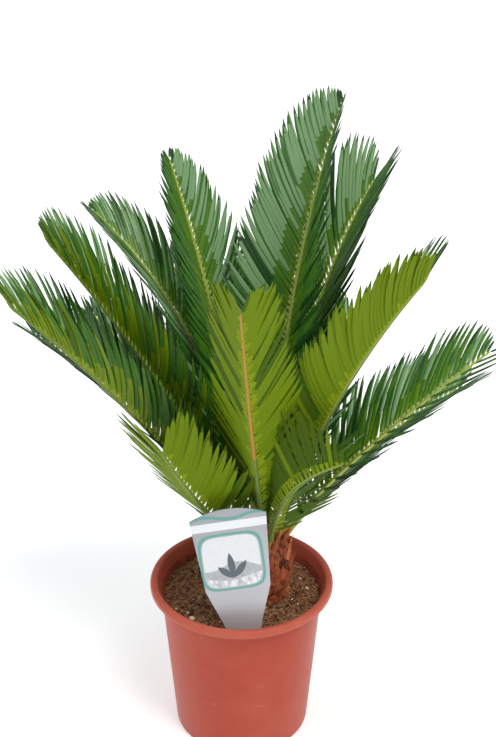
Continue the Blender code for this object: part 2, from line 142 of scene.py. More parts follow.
# Old leaf bases, woolly scales of the crown and loose fibres
GOLDEN_ANGLE = math.radians(137.5)
SCALE_SEED = 5
SCALE_SEAT = 0.0022
SCALE_THICKNESS = 0.0042
SCALE_SIZES = (0.8, 1.1)
SCALE_LEANS = (-6.0, 12.0)
SCALE_TONES = (2, 5, 8, 3)
CROWN_SCALES = 34
CROWN_SCALE_SEAT = 0.93
CROWN_SCALE_THICKNESS = 0.0026
CROWN_SCALE_WIDTH = 0.0058
CROWN_SCALE_LENGTHS = (0.012, 0.019)
CROWN_SCALE_TONES = (0, 2, 4, 5)
FIBRE_SEED = 23
FIBRE_RINGS = 3
FIBRE_CORNERS = (0.0, 2.1, 4.2)
FIBRE_RADIUS = 0.00022
FIBRE_LENGTHS = (0.006, 0.014)
FIBRE_TONES = (0, 2, 4, 6)

# Plant label
LABEL_FOOT = Vector((0.003, -0.062, SOIL_HIGH.z))
LABEL_WIDTH = 0.068
LABEL_HEIGHT = 0.125
LABEL_SIDE_HEIGHT = 0.117
LABEL_STATIONS = ((-0.032, 0.007), (0.012, 0.018), (0.045, 0.029), (0.117, 0.034))
LABEL_THICKNESS = 0.0008
LABEL_LEAN = math.radians(6)
LABEL_TILT = math.radians(7)
LABEL_TURN = math.radians(3)
LABEL_ARC_STEPS = 10
LABEL_EDGE_WIDTH = 0.00018

# Print of the label: the first two are in card widths, and other lengths in card heights
CARD_FRONT_END = 1.5
CARD_BACK_SHIFT = 2.0
WAVE_HEIGHT = 0.935
WAVE_SWING = 0.016
PICTURE_LEFT = 0.015
PICTURE_HEIGHT = 0.585
PICTURE_HALF = 0.205
PICTURE_POWER = 5.0
FAR_HILLS = 0.55
NEAR_HILLS = 0.46
SPRIG_FOOT = 0.45
SPRIG_WIDTH = 0.11
SPRIG_LEAVES = ((-46.0, 0.15), (-4.0, 0.21), (38.0, 0.17))  # angle and length
PRINT_EDGE = 0.004

# Leaflets of the fronds
LEAFLET_BASE_ANGLE = 60
LEAFLET_TIP_ANGLE = 26
ANGLE_EASE = 0.8
FIRST_LEAFLET_SHARE = 0.34
LAST_LEAFLET_SHARE = 0.997
LOSS_EASE = 3.0
LEAFLET_CURL = 0.16
CURL_CROSSING = 0.55
LEAFLET_ROOT_ACROSS = 0.34
LEAFLET_ROOT_UP = 0.22
LEAFLET_SEED = 200
ROW_SHIFT = 0.25
# How far single leaflets stray from the rule, least and most, and whole clumps of them
SHIFT_RANGE = (-0.12, 0.12)
KEEL_RANGE = (-2.5, 2.5)
ANGLE_RANGE = (-1.4, 1.4)
LENGTH_RANGE = (0.94, 1.0)
CURL_RANGE = (0.75, 1.15)
DROOP_RANGE = (0.02, 0.07)
ROLL_RANGE = (6.0, 20.0)
CLUMP_KEEL = 3.0
CLUMP_ANGLE = 2.6

# Rib of a frond
PETIOLE_SHARE = 0.11
RIB_BASE_SIZE = 0.0050
RIB_TIP_SIZE = 0.0018
RIB_FACE_SHARE = 0.35
RIB_KEEL_SHARE = 0.50
RIB_SEED = 100
CURVE_STEPS = 120
DROOP_EASE = 1.4
SWEEP_EASE = 1.2
START_STEP = 0.0001
STEM_SINK = 0.004
STEM_SWELL = 0.55
SWELL_REACH = 0.09
SWELL_EASE = 1.5


def srgb(red, green, blue):
    """A colour of bytes as the linear values that a shader takes."""
    values = []
    for byte in (red, green, blue):
        share = byte / 255.0
        values.append(share / 12.92 if share <= 0.04045 else ((share + 0.055) / 1.055) ** 2.4)
    return tuple(values)


def halfway(first, second):
    """The colour half way between two colours."""
    return tuple(0.5 * (a + b) for a, b in zip(first, second))


def between(first, last, share):
    """The number at a share of the way from one number to another."""
    return first + (last - first) * share


def on_circle(angle, radius=1.0):
    """The place on a level circle round the Z axis, at an angle from +X in radians."""
    return Vector((radius * math.cos(angle), radius * math.sin(angle), 0.0))


class Frond(NamedTuple):
    """How one frond grows out of the crown; angles are in degrees."""

    name: str
    heading: float  # round from +X, the way it grows
    lift: float  # how high up the crown's dome its stem starts
    rise: float  # above level at its stem
    droop: float  # how much of that is lost by its tip
    length: float
    sweep: float = 0.0  # how far the heading has turned by its tip
    roll: float = 0.0  # how far the blade is turned about its rib
    twist: float = 0.0  # how much further it is turned by its tip
    keel: float = 38.0  # how far each row of leaflets stands up from flat
    leaflet: float = 0.087  # longest leaflet
    spread: float = 0.0  # how much wider than usual the leaflets stand off the rib
    full_from: float = 0.20  # where along the leafy part they reach their full length
    full_until: float = 0.50  # where along the leafy part they begin to shorten
    tip_loss: float = 0.80  # how much of their length is lost by its end
    lost: float = 0.0  # share of the right-hand leaflets that are missing
    # The bluish leaflets carry a painted sheen; the row without it is the row turned away from the light
    blue: float = 0.5  # share of its leaflets that are bluish
    row_without_sheen: int = 0  # the row with no bluish leaflets, -1 for the left and 1 for the right
    age: float = 0.0  # how far its rib has turned from pale green to orange
    broad: float = 1.0  # width of its leaflets, in usual widths
    shade: float = 0.10  # share of its leaflets that are dark underneath


FRONDS = (
    Frond("left_low", 181, 24, 57, 16, 0.311,
          sweep=-2, roll=11, keel=50, leaflet=0.091, spread=3, tip_loss=0.70, blue=0.75),
    Frond("left_middle", 177, 52, 64.5, 14, 0.334,
          sweep=-4, roll=14, keel=48, leaflet=0.086, full_until=0.57, blue=0.8),
    Frond("left_back", 149, 46, 80, 49, 0.338,
          roll=-8, twist=14, keel=28, leaflet=0.083, spread=-7, full_until=0.50, tip_loss=0.95, blue=0.6),
    Frond("back_left", 133, 68, 75, 11, 0.348,
          roll=-5, keel=31, leaflet=0.078, spread=-3, full_until=0.36, tip_loss=0.89,
          blue=0.75, row_without_sheen=-1),
    Frond("top", 71, 74, 80, 9, 0.398,
          sweep=-48, roll=4, keel=42, leaflet=0.091, spread=3, full_until=0.46, tip_loss=0.94,
          blue=1.0, row_without_sheen=1, broad=1.25),
    Frond("top_right", 47, 54, 84, 37, 0.338,
          sweep=-5, roll=12, twist=-20, keel=33, leaflet=0.098, spread=-5, full_until=0.67, tip_loss=0.85,
          blue=1.0, row_without_sheen=1),
    Frond("front", 259, 70, 65.5, -3, 0.309,
          sweep=3, keel=45, leaflet=0.077, spread=1, full_until=0.64,
          blue=0.1, age=0.9, broad=1.05, shade=0.14),
    Frond("right_front", 320, 56, 71.5, 16, 0.325,
          sweep=12, roll=-8, keel=41, leaflet=0.090, spread=-2, full_until=0.58, tip_loss=0.64,
          blue=0.1, age=0.4, broad=1.3),
    Frond("right_low", 350, 55, 53.5, 20, 0.262,
          sweep=25, roll=8, keel=23, leaflet=0.078, spread=4, full_from=0.30, tip_loss=0.92, lost=0.67,
          blue=0.2),
    Frond("right_front_low", 283, 46, 68, 37, 0.166,
          sweep=49, roll=-34, keel=50, leaflet=0.070, spread=36, full_from=0.05, full_until=0.57,
          blue=0.1, age=0.25, shade=0.9),
    Frond("left_front_low", 212, 20, 52, -13, 0.156,
          roll=34, keel=29, leaflet=0.072, spread=8, full_until=0.77, tip_loss=0.83, blue=0.1, broad=1.2),
    Frond("back", 92, 48, 58, 36, 0.250),
    Frond("back_left_middle", 118, 44, 61, 30, 0.270),
    Frond("back_low", 68, 24, 46, 34, 0.250),
    Frond("back_left_low", 134, 22, 46, 30, 0.270),
    Frond("back_right_low", 28, 24, 40, 26, 0.220),
    Frond("left_back_low", 158, 26, 48, 22, 0.270),
)


def colour_property(name, description, default):
    """A colour that a user may change."""
    return FloatVectorProperty(name=name, description=description, default=default,
                               size=3, min=0.0, max=1.0, subtype="COLOR")


def length_property(name, description, default):
    """A length that a user may change."""
    return FloatProperty(name=name, description=description, default=default, unit="LENGTH", precision=4)


class PotSettings(PropertyGroup):
    """Sizes and colours of the pot."""

    rim_radius: length_property("Rim radius", "Outer radius of the rolled rim", POT_HIGH.x)
    height: length_property("Height", "Height of the rim's top", POT_HIGH.z)
    base_radius: length_property("Base radius", "Outer radius just above the foot", 0.063)
    neck_radius: length_property("Neck radius", "Outer radius just below the rim", 0.0748)
    neck_height: length_property("Neck height", "Height at which the rim flares out", 0.1445)
    rim_width: length_property("Rim width", "Width of the rim seen from above", 0.0075)
    wall: length_property("Wall", "Thickness of the wall", 0.0015)
    floor: length_property("Floor", "Thickness of the floor", 0.0025)
    sides: IntProperty(name="Sides", description="Sides of the turned body", default=128, min=24)
    plastic: colour_property("Plastic", "Main colour", srgb(171, 66, 48))
    # The pale plastic is also laid over the whole rim as a painted highlight
    pale: colour_property("Pale plastic", "Colour of its paler clouds and scuffs", srgb(198, 104, 84))
    dirt: colour_property("Dirt", "Colour of the soil stains inside the rim", srgb(120, 66, 46))


class SoilSettings(PropertyGroup):
    """Sizes and colours of the soil."""

    relief: length_property("Relief", "Height of the lumps", 0.0028)
    crumbs: IntProperty(name="Crumbs", description="Loose crumbs on the surface", default=1500, min=0)
    crumb: length_property("Crumb size", "Radius of a middling crumb", 0.0011)
    dark: colour_property("Dark", "Moist peat", srgb(76, 50, 35))
    middle: colour_property("Middle", "Peat", srgb(142, 100, 72))
    light: colour_property("Light", "Dry peat", srgb(176, 134, 100))
    chip: colour_property("Chip", "Pale grit and chips of wood", srgb(226, 204, 160))


class TrunkSettings(PropertyGroup):
    """Sizes and colours of the trunk."""

    scales: IntProperty(name="Scales", description="Old leaf bases round the trunk", default=84, min=0)
    scale_length: length_property("Scale length", "Length of an old leaf base", 0.0135)
    scale_width: length_property("Scale width", "Width of an old leaf base", 0.0105)
    fibres: IntProperty(name="Fibres", description="Loose fibres between the leaf bases", default=520, min=0)
    bark: colour_property("Bark", "Main colour of the leaf bases", srgb(164, 86, 56))
    dark_bark: colour_property("Dark bark", "Colour of the hollows", srgb(78, 38, 28))
    fibre: colour_property("Fibre", "Colour of the fibres and woolly scales", srgb(204, 128, 70))


class FrondSettings(PropertyGroup):
    """Sizes and colours of the fronds."""

    pitch: length_property("Pitch", "Distance between leaflets along the rib", 0.0054)
    width: length_property("Leaflet width", "Width of a leaflet", 0.0046)
    thickness: length_property("Leaflet thickness", "Thickness over the midrib", 0.0007)
    pale: colour_property("Leaflet base", "Swollen base of each leaflet", srgb(176, 190, 104))
    fresh: colour_property("Fresh green", "Upper side close to the rib", srgb(98, 138, 16))
    middle: colour_property("Middle green", "Upper side further from the rib", srgb(78, 126, 24))
    green: colour_property("Green", "Upper side", srgb(60, 114, 32))
    # Painted sheen: this bluish green stands for a pale reflection on the leaflets' upper side
    blue: colour_property("Bluish green", "Upper side of the bluish leaflets", srgb(130, 168, 116))
    deep: colour_property("Deep green", "Upper side of the darkest leaflets", srgb(30, 74, 22))
    tip: colour_property("Tip", "Tips of the leaflets", srgb(48, 72, 50))
    under_pale: colour_property("Pale underside", "Underside close to the rib", srgb(128, 146, 12))
    under: colour_property("Underside", "Underside of the leaflets", srgb(106, 130, 4))
    under_green: colour_property("Green underside", "Underside of the bluish leaflets", srgb(62, 106, 24))
    under_deep: colour_property("Deep underside", "Underside of the shaded leaflets", srgb(68, 94, 6))
    rib_pale: colour_property("Pale rib", "Rib of a young frond", srgb(168, 184, 78))
    rib_green: colour_property("Green rib", "Keel of the ribs", srgb(104, 128, 44))
    rib_orange: colour_property("Orange rib", "Rib of an older frond", srgb(174, 132, 36))


class LabelSettings(PropertyGroup):
    """Colours of the plant label."""

    card: colour_property("Card", "Bare card", srgb(168, 170, 177))
    pale_card: colour_property("Pale card", "Bare card where it catches the light", srgb(196, 198, 202))
    white: colour_property("White", "White parts of the print", srgb(236, 238, 242))
    teal: colour_property("Teal", "Teal parts of the print", srgb(86, 164, 152))
    grey: colour_property("Grey", "Dark grey parts of the print", srgb(88, 98, 104))


class StageSettings(PropertyGroup):
    """The floor, the light and the camera."""

    floor: colour_property("Floor", "Colour of the floor", (0.97, 0.97, 0.97))
    glow: FloatProperty(name="Floor glow", description="Strength of the floor's own light", default=0.3)
    key: FloatProperty(name="Key light", description="Strength of the light from the right", default=1.5)
    fill: FloatProperty(name="Sky light", description="Strength of the cool light from the left", default=0.8)
    world: FloatProperty(name="Surroundings", description="Strength of the even light all round", default=0.5)
    lens: FloatProperty(name="Lens", description="Focal length in millimetres", default=76.69)
    pitch: FloatProperty(name="Camera pitch", description="How far the camera looks down",
                         default=math.radians(27.95), subtype="ANGLE")
    eye: FloatVectorProperty(name="Camera", description="Where the camera stands",
                             default=(0.006, -1.200, 1.014), size=3, subtype="XYZ")


# Shader nodes

def sum_method(operation, reflected=False):
    """A method of a link that adds one Math node."""

    def method(link, other):
        values = (other, link) if reflected else (link, other)
        return link.finish.maths(operation, *values)

    return method


class Link:
    """An output socket that can stand in sums; each operation adds a Math node."""

    def __init__(self, finish, socket):
        self.finish = finish
        self.socket = socket

    __add__ = __radd__ = sum_method("ADD")
    __sub__ = sum_method("SUBTRACT")
    __rsub__ = sum_method("SUBTRACT", reflected=True)
    __mul__ = __rmul__ = sum_method("MULTIPLY")
    __truediv__ = sum_method("DIVIDE")
    __pow__ = sum_method("POWER")


class Finish:
    """One material: its Principled shader and the nodes that feed it."""

    def __init__(self, name, colour, roughness, **uniform):
        self.material = bpy.data.materials.new(name)
        self.material.use_nodes = True
        self.tree = self.material.node_tree
        self.shader = self.tree.nodes["Principled BSDF"]
        self.feed(self.shader.inputs["Base Color"], colour)
        self.feed(self.shader.inputs["Roughness"], roughness)
        for socket_name, value in uniform.items():
            self.feed(self.shader.inputs[socket_name.replace("_", " ")], value)

    def feed(self, socket, value):
        """Link a socket, or give it a plain value."""
        if isinstance(value, Link):
            self.tree.links.new(value.socket, socket)
        elif socket.type == "RGBA":
            socket.default_value = (*value, 1.0)
        else:
            socket.default_value = value

    def set(self, socket_name, value):
        """Feed one of the shader's own sockets."""
        self.feed(self.shader.inputs[socket_name], value)

    def node(self, kind, settings=None, inputs=None, output=0):
        """Add a node: its settings first, then the values or links of its sockets."""
        made = self.tree.nodes.new(kind)
        for name, value in (settings or {}).items():
            setattr(made, name, value)
        for socket, value in (inputs or {}).items():
            self.feed(made.inputs[socket], value)
        return Link(self, made.outputs[output])

    def maths(self, operation, *values):
        """A Math node on one or two values."""
        return self.node("ShaderNodeMath", {"operation": operation}, dict(enumerate(values)))

    def place(self, source="Object"):
        """The place on the object, or on its UV map."""
        return self.node("ShaderNodeTexCoord", output=source)

    def parts(self, vector):
        """The X, Y and Z of a vector."""
        split = self.node("ShaderNodeSeparateXYZ", inputs={0: vector})
        return [Link(self, socket) for socket in split.socket.node.outputs]

    def stretched(self, scale):
        """The place on the object, scaled by a Mapping node."""
        return self.node("ShaderNodeMapping", inputs={"Vector": self.place(), "Scale": scale})

    def noise(self, scale, detail=2.0, roughness=0.5, vector=None):
        """Smooth noise between 0 and 1."""
        inputs = {"Vector": vector or self.place(), "Scale": scale, "Detail": detail, "Roughness": roughness}
        return self.node("ShaderNodeTexNoise", inputs=inputs, output="Fac")

    def band(self, value, low, high):
        """A soft step from 0 at low to 1 at high."""
        inputs = {"Value": value, "From Min": low, "From Max": high}
        return self.node("ShaderNodeMapRange", {"interpolation_type": "SMOOTHSTEP"}, inputs)

    def stripe(self, value, low, full, fading, high):
        """A stripe that rises from low to full and falls again from fading to high."""
        return self.band(value, low, full) * (1.0 - self.band(value, fading, high))

    def mix(self, factor, first, second):
        """A colour between two colours."""
        settings = {"data_type": "RGBA", "clamp_factor": True}
        return self.node("ShaderNodeMix", settings, {0: factor, 6: first, 7: second}, output=2)

    def bump(self, height, strength, distance):
        """Small relief on the surface's normal."""
        inputs = {"Height": height, "Strength": strength, "Distance": distance}
        self.set("Normal", self.node("ShaderNodeBump", inputs=inputs))


def plain_finishes(named, roughness, specular, least, rise, scale, detail=2.0):
    """Finishes of one base colour each, whose roughness wavers from the least by a rise."""
    made = []
    for name, colour in named:
        finish = Finish(name, colour, roughness, Specular_IOR_Level=specular)
        finish.set("Roughness", least + rise * finish.noise(scale, detail))
        made.append(finish)
    return made


# Making and keeping objects

def start_afresh():
    """Leave edit mode and select nothing, so that the next primitive is alone."""
    if bpy.context.mode != "OBJECT":
        bpy.ops.object.mode_set(mode="OBJECT")
    bpy.ops.object.select_all(action="DESELECT")


def name_active(name):
    """Give the active object and its mesh a name."""
    made = bpy.context.view_layer.objects.active
    made.name = name
    made.data.name = name
    return made


def apply_modifier(made, kind, **settings):
    """Add a modifier to the active object and apply it."""
    modifier = made.modifiers.new(kind.title(), kind)
    for name, value in settings.items():
        setattr(modifier, name, value)
    bpy.context.view_layer.objects.active = made
    bpy.ops.object.modifier_apply(modifier=modifier.name)


def keep_piece(made, replaced, finishes, smooth_angle=None):
    """Give a finished mesh its materials and its body, and hide the solids that it stands for."""
    if smooth_angle is not None:
        made.data.shade_smooth()
        made.data.set_sharp_from_angle(angle=math.radians(smooth_angle))
    for finish in finishes:
        made.data.materials.append(finish.material)
    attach(made, BODY)
    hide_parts(*replaced)


def turn_solid(name, profile, sides):
    """A closed solid drawn up from a filled circle; each further (radius, height) is one extrusion."""
    start_afresh()
    radius, height = profile[0]
    bpy.ops.mesh.primitive_circle_add(vertices=sides, radius=radius, fill_type="NGON",
                                      location=(0.0, 0.0, height))
    made = name_active(name)
    bpy.ops.object.mode_set(mode="EDIT")
    bpy.ops.mesh.select_all(action="SELECT")
    for next_radius, next_height in profile[1:]:
        rise = (0.0, 0.0, next_height - height)
        bpy.ops.mesh.extrude_region_move(TRANSFORM_OT_translate={"value": rise})
        wider = next_radius / radius
        bpy.ops.transform.resize(value=(wider, wider, 1.0), center_override=(0.0, 0.0, next_height))
        radius, height = next_radius, next_height
    bpy.ops.mesh.select_all(action="SELECT")
    bpy.ops.mesh.normals_make_consistent(inside=False)
    bpy.ops.object.mode_set(mode="OBJECT")
    bpy.ops.object.transform_apply(location=True, rotation=True, scale=True)
    return made


class Shape(NamedTuple):
    """Corners and faces of one small shape that is copied many times."""

    corners: list
    faces: list


def take_shape():
    """Read the active object's mesh as a shape and remove the object."""
    made = bpy.context.view_layer.objects.active
    shape = Shape([vertex.co.copy() for vertex in made.data.vertices],
                  [tuple(face.vertices) for face in made.data.polygons])
    bpy.data.objects.remove(made, do_unlink=True)
    return shape


class Batch:
    """Many small closed shapes that become one joined mesh."""

    def __init__(self):
        self.corners = []
        self.faces = []
        self.finishes = []

    def add_copy(self, shape, place, finish):
        """Add a shape, moved by a matrix."""
        first = len(self.corners)
        self.corners.extend(place @ corner for corner in shape.corners)
        for face in shape.faces:
            self.faces.append(tuple(first + index for index in face))
            self.finishes.append(finish)

    def add_loft(self, rings, finish_at, tip):
        """Skin rings of corners, closed by a face at the first ring and by a tip at the end.

        finish_at takes the number of a ring and of a side and gives the material's number.
        """
        first = len(self.corners)
        sides = len(rings[0])
        for ring in rings:
            self.corners.extend(ring)
        self.faces.append(tuple(first + i for i in reversed(range(sides))))
        self.finishes.append(finish_at(0, 0))
        for k in range(len(rings) - 1):
            start = first + k * sides
            for i in range(sides):
                j = (i + 1) % sides
                self.faces.append((start + i, start + j, start + sides + j, start + sides + i))
                self.finishes.append(finish_at(k, i))
        last = first + (len(rings) - 1) * sides
        self.corners.append(tip)
        for i in range(sides):
            self.faces.append((last + i, last + (i + 1) % sides, len(self.corners) - 1))
            self.finishes.append(finish_at(len(rings) - 1, i))

    def make_object(self, name):
        """The joined mesh as a new object."""
        mesh = bpy.data.meshes.new(name)
        mesh.from_pydata(self.corners, [], self.faces)
        mesh.polygons.foreach_set("material_index", self.finishes)
        mesh.update()
        made = bpy.data.objects.new(name, mesh)
        bpy.context.scene.collection.objects.link(made)
        return made


def face_outwards(made):
    """Turn the faces of an object's closed shapes outwards."""
    bm = bmesh.new()
    bm.from_mesh(made.data)
    bmesh.ops.recalc_face_normals(bm, faces=bm.faces)
    bm.to_mesh(made.data)
    bm.free()


def keep_batch(batch, name, replaced, finishes, smooth_angle):
    """Join a batch into one piece and keep it."""
    made = batch.make_object(name)
    face_outwards(made)
    keep_piece(made, replaced, finishes, smooth_angle)


def pick_tone(draw, weights):
    """The number of a finish, drawn by the weights of them all."""
    return draw.choices(range(len(weights)), weights)[0]


# Pot

def pot_radius(pot, height):
    """Outer radius of the pot's straight wall at a height."""
    share = (height - POT_EDGE) / (pot.neck_height - POT_EDGE)
    return between(pot.base_radius, pot.neck_radius, share)


def pot_profile(pot):
    """Radius and height from the foot outside, over the rolled rim, to the floor inside."""
    ledge = pot.neck_height - LEDGE_DROP
    points = [(pot.base_radius - POT_EDGE, 0.0)]
    for i in range(1, FOOT_STEPS + 1):
        angle = 0.5 * math.pi * i / FOOT_STEPS
        points.append((pot.base_radius - POT_EDGE + POT_EDGE * math.sin(angle),
                       POT_EDGE * (1.0 - math.cos(angle))))
    points.append((pot_radius(pot, ledge), ledge))
    points.append((pot_radius(pot, ledge) + LEDGE_RISE, ledge + LEDGE_RISE))
    points.append((pot.neck_radius + 0.5 * LEDGE_RISE, pot.neck_height - FLARE_LEAD))
    for i in range(1, RIM_FLARE_STEPS + 1):
        share = i / RIM_FLARE_STEPS
        radius = between(pot.neck_radius, pot.rim_radius, 0.5 - 0.5 * math.cos(math.pi * share))
        points.append((radius, pot.neck_height + RIM_FLARE_HEIGHT * share))
    half = 0.5 * pot.rim_width
    for i in range(RIM_ROLL_STEPS + 1):
        angle = RIM_ROLL_ANGLE * i / RIM_ROLL_STEPS
        points.append((pot.rim_radius - half + half * math.cos(angle),
                       pot.height - half + half * math.sin(angle)))
    points.append((pot_radius(pot, pot.neck_height) - pot.wall, pot.neck_height))
    points.append((pot_radius(pot, pot.floor) - pot.wall, pot.floor))
    return points


def cut_drain_holes(made, pot):
    """Cut a ring of round holes through the pot's floor."""
    for i in range(DRAIN_HOLES):
        place = on_circle(math.tau * (i + 0.5) / DRAIN_HOLES, DRAIN_CIRCLE)
        start_afresh()
        bpy.ops.mesh.primitive_cylinder_add(vertices=DRAIN_SIDES, radius=DRAIN_RADIUS,
                                            depth=4.0 * pot.floor, location=place)
        cutter = name_active("drain_cutter")
        apply_modifier(made, "BOOLEAN", operation="DIFFERENCE", solver="EXACT", object=cutter)
        bpy.data.objects.remove(cutter, do_unlink=True)


def pot_finish(pot):
    """Satin terracotta-coloured plastic with clouds, scuffs, soil stains inside the rim and a painted
    highlight over the rim.
    """
    finish = Finish("pot_plastic", pot.plastic, 0.4, Specular_IOR_Level=0.15)
    x, y, height = finish.parts(finish.place())
    clouds = finish.band(finish.noise(14.0, 4.0, 0.6), 0.35, 0.75)
    drawn = finish.noise(9.0, 3.0, 0.5, finish.stretched((9.0, 9.0, 1.2)))
    scuffs = finish.band(finish.noise(55.0, 5.0, 0.65), 0.62, 0.70)
    radius = (x * x + y * y) ** 0.5
    flare = (pot.neck_radius - pot.base_radius) / (pot.neck_height - POT_EDGE)
    wall_middle = pot.base_radius - 0.5 * pot.wall + flare * (height - POT_EDGE)
    inner = finish.maths("LESS_THAN", radius, wall_middle)
    above = finish.band(height, pot.neck_height - STAIN_DEPTH, pot.neck_height)
    stains = inner * above * finish.band(finish.noise(70.0, 4.0, 0.6), 0.42, 0.62)
    # Painted highlight: the rim above the neck is made paler with the pale plastic
    rim = finish.band(height, pot.neck_height - FLARE_LEAD, pot.neck_height + 0.005)
    body = finish.mix(0.3 * clouds + 0.2 * drawn + 0.35 * rim, pot.plastic, pot.pale)
    worn = finish.mix(0.35 * scuffs, body, pot.pale)
    finish.set("Base Color", finish.mix(0.7 * stains, worn, pot.dirt))
    finish.set("Roughness", 0.34 + 0.12 * clouds + 0.16 * scuffs + 0.3 * stains)
    finish.bump(finish.noise(420.0, 2.0) + 2.0 * drawn + scuffs, 0.12, 0.0006)
    return finish


# Soil

def soil_height(place, relief):
    """How far the soil's surface stands above its even level at a place."""
    lumps = noise.fractal(Vector((place.x * LUMPS_PER_METRE, place.y * LUMPS_PER_METRE, 3.0)), 1.0, 2.0, 3)
    grains = noise.noise(Vector((place.x * GRAINS_PER_METRE, place.y * GRAINS_PER_METRE, 9.0)))
    return relief * (0.55 * lumps + 0.28 * grains)


def soil_level(radius, edge_radius):
    """Even level of the soil at a distance from the pot's axis."""
    past = max(0.0, (radius - SOIL_FLAT_RADIUS) / (edge_radius - SOIL_FLAT_RADIUS))
    return SOIL_HIGH.z - SOIL_EDGE_DROP * past


def soil_profile(pot):
    """The soil's filled body: its bottom, its side and rings of its surface to the middle."""
    edge_radius = pot_radius(pot, SOIL_HIGH.z) - pot.wall - GAP
    points = [(pot.base_radius - pot.wall - GAP, SOIL_LOW.z), (edge_radius, SOIL_HIGH.z - SOIL_EDGE_DROP)]
    for i in range(1, SOIL_RINGS):
        points.append((edge_radius * (1.0 - i / SOIL_RINGS), SOIL_HIGH.z))
    return points


def roughen_soil(made, soil, edge_radius):
    """Shape the even level and the lumps into the surface of the turned body."""
    for vertex in made.data.vertices:
        if vertex.co.z > SOIL_HIGH.z - SOIL_SURFACE_DEPTH:
            level = soil_level(math.hypot(vertex.co.x, vertex.co.y), edge_radius)
            vertex.co.z = level + soil_height(vertex.co, soil.relief)


def soil_finish(soil):
    """Crumbly peat in three tones."""
    finish = Finish("soil_peat", soil.middle, 0.95, Specular_IOR_Level=0.15)
    patches = finish.band(finish.noise(38.0, 4.0, 0.6), 0.35, 0.70)
    grain = finish.noise(340.0, 4.0, 0.7)
    dark = finish.mix(finish.band(grain, 0.36, 0.58), soil.dark, soil.middle)
    finish.set("Base Color", finish.mix(patches * finish.band(grain, 0.48, 0.70), dark, soil.light))
    finish.bump(grain + 0.6 * finish.noise(900.0, 2.0), 0.9, 0.0012)
    return finish


def crumb_finishes(soil):
    """Plain finishes of the loose crumbs, from dark to light, and of the chips."""
    named = (("crumb_dark", soil.dark), ("crumb_middle", soil.middle), ("crumb_light", soil.light),
             ("chip_pale", soil.chip))
    return plain_finishes(named, 0.9, specular=0.2, least=0.82, rise=0.16, scale=260.0)


def scatter_crumbs(batch, soil, edge_radius):
    """Crumbs of every size over the soil, a few slivers of bark and a few pale chips."""
    start_afresh()
    bpy.ops.mesh.primitive_ico_sphere_add(subdivisions=1, radius=1.0)
    lump = take_shape()
    draw = random.Random(CRUMB_SEED)
    for _ in range(soil.crumbs):
        radius = edge_radius * math.sqrt(draw.random())
        place = on_circle(draw.uniform(0.0, math.tau), radius)
        size = soil.crumb * draw.uniform(*CRUMB_SIZES) * (1.0 + 1.2 * draw.random() ** 5)
        place.z = soil_level(radius, edge_radius) + soil_height(place, soil.relief) + 0.25 * size
        sliver = 1.0 if draw.random() < ROUND_CRUMB_SHARE else draw.uniform(*SLIVER_STRETCH)
        width = size * draw.uniform(0.6, 1.0)
        thick = size * draw.uniform(0.5, 0.9)
        turn = Matrix.Rotation(draw.uniform(0.0, math.tau), 4, "Z")
        tilt = Matrix.Rotation(draw.uniform(-0.5, 0.5), 4, "Y")
        scale = Matrix.Diagonal((size * sliver, width, thick, 1.0))
        tone = pick_tone(draw, CRUMB_TONES)
        batch.add_copy(lump, Matrix.Translation(place) @ (turn @ tilt) @ scale, tone)
    for x, y, long_half, short_half in CHIPS:
        place = Vector((x, y, 0.0))
        place.z = SOIL_HIGH.z + soil_height(place, soil.relief) + 0.6 * short_half
        turn = Matrix.Rotation(draw.uniform(0.0, math.tau), 4, "Z")
        scale = Matrix.Diagonal((long_half, short_half, short_half, 1.0))
        batch.add_copy(lump, Matrix.Translation(place) @ turn @ scale, CHIP_TONE)


# Trunk

def trunk_radius(share):
    """Radius of the trunk at a share of the way from the ground to the crown's dome."""
    if share < TRUNK_WAIST:
        return between(TRUNK_FLARE_RADIUS, TRUNK_WAIST_RADIUS, share / TRUNK_WAIST)
    if share < TRUNK_BELLY:
        swell = math.sin(0.5 * math.pi * (share - TRUNK_WAIST) / (TRUNK_BELLY - TRUNK_WAIST))
        return between(TRUNK_WAIST_RADIUS, TRUNK_BELLY_RADIUS, swell)
    taper = 0.5 - 0.5 * math.cos(math.pi * (share - TRUNK_BELLY) / (1.0 - TRUNK_BELLY))
    return between(TRUNK_BELLY_RADIUS, CROWN_RADIUS, taper)


def leaf_base_relief(angle, share):
    """How far the old leaf bases stand out, in rows that are set half a step apart."""
    row = share * LEAF_BASE_ROWS
    shift = 0.5 * math.pi * (math.floor(row) % 2)
    round_trunk = abs(math.cos(0.5 * LEAF_BASES_ROUND * angle + shift))
    up_row = math.sin(math.pi * (row - math.floor(row)))
    return LEAF_BASE_DEPTH * round_trunk * up_row


def trunk_profile():
    """Radius and height of the trunk, from its foot over the crown's dome."""
    points = []
    for i in range(TRUNK_RINGS):
        share = i / (TRUNK_RINGS - 1)
        points.append((trunk_radius(share), between(TRUNK_FOOT.z, CROWN_CENTRE.z, share)))
    for i in range(1, DOME_RINGS):
        up = 0.5 * math.pi * i / DOME_RINGS
        points.append((CROWN_RADIUS * math.cos(up), CROWN_CENTRE.z + CROWN_RADIUS * math.sin(up)))
    return points


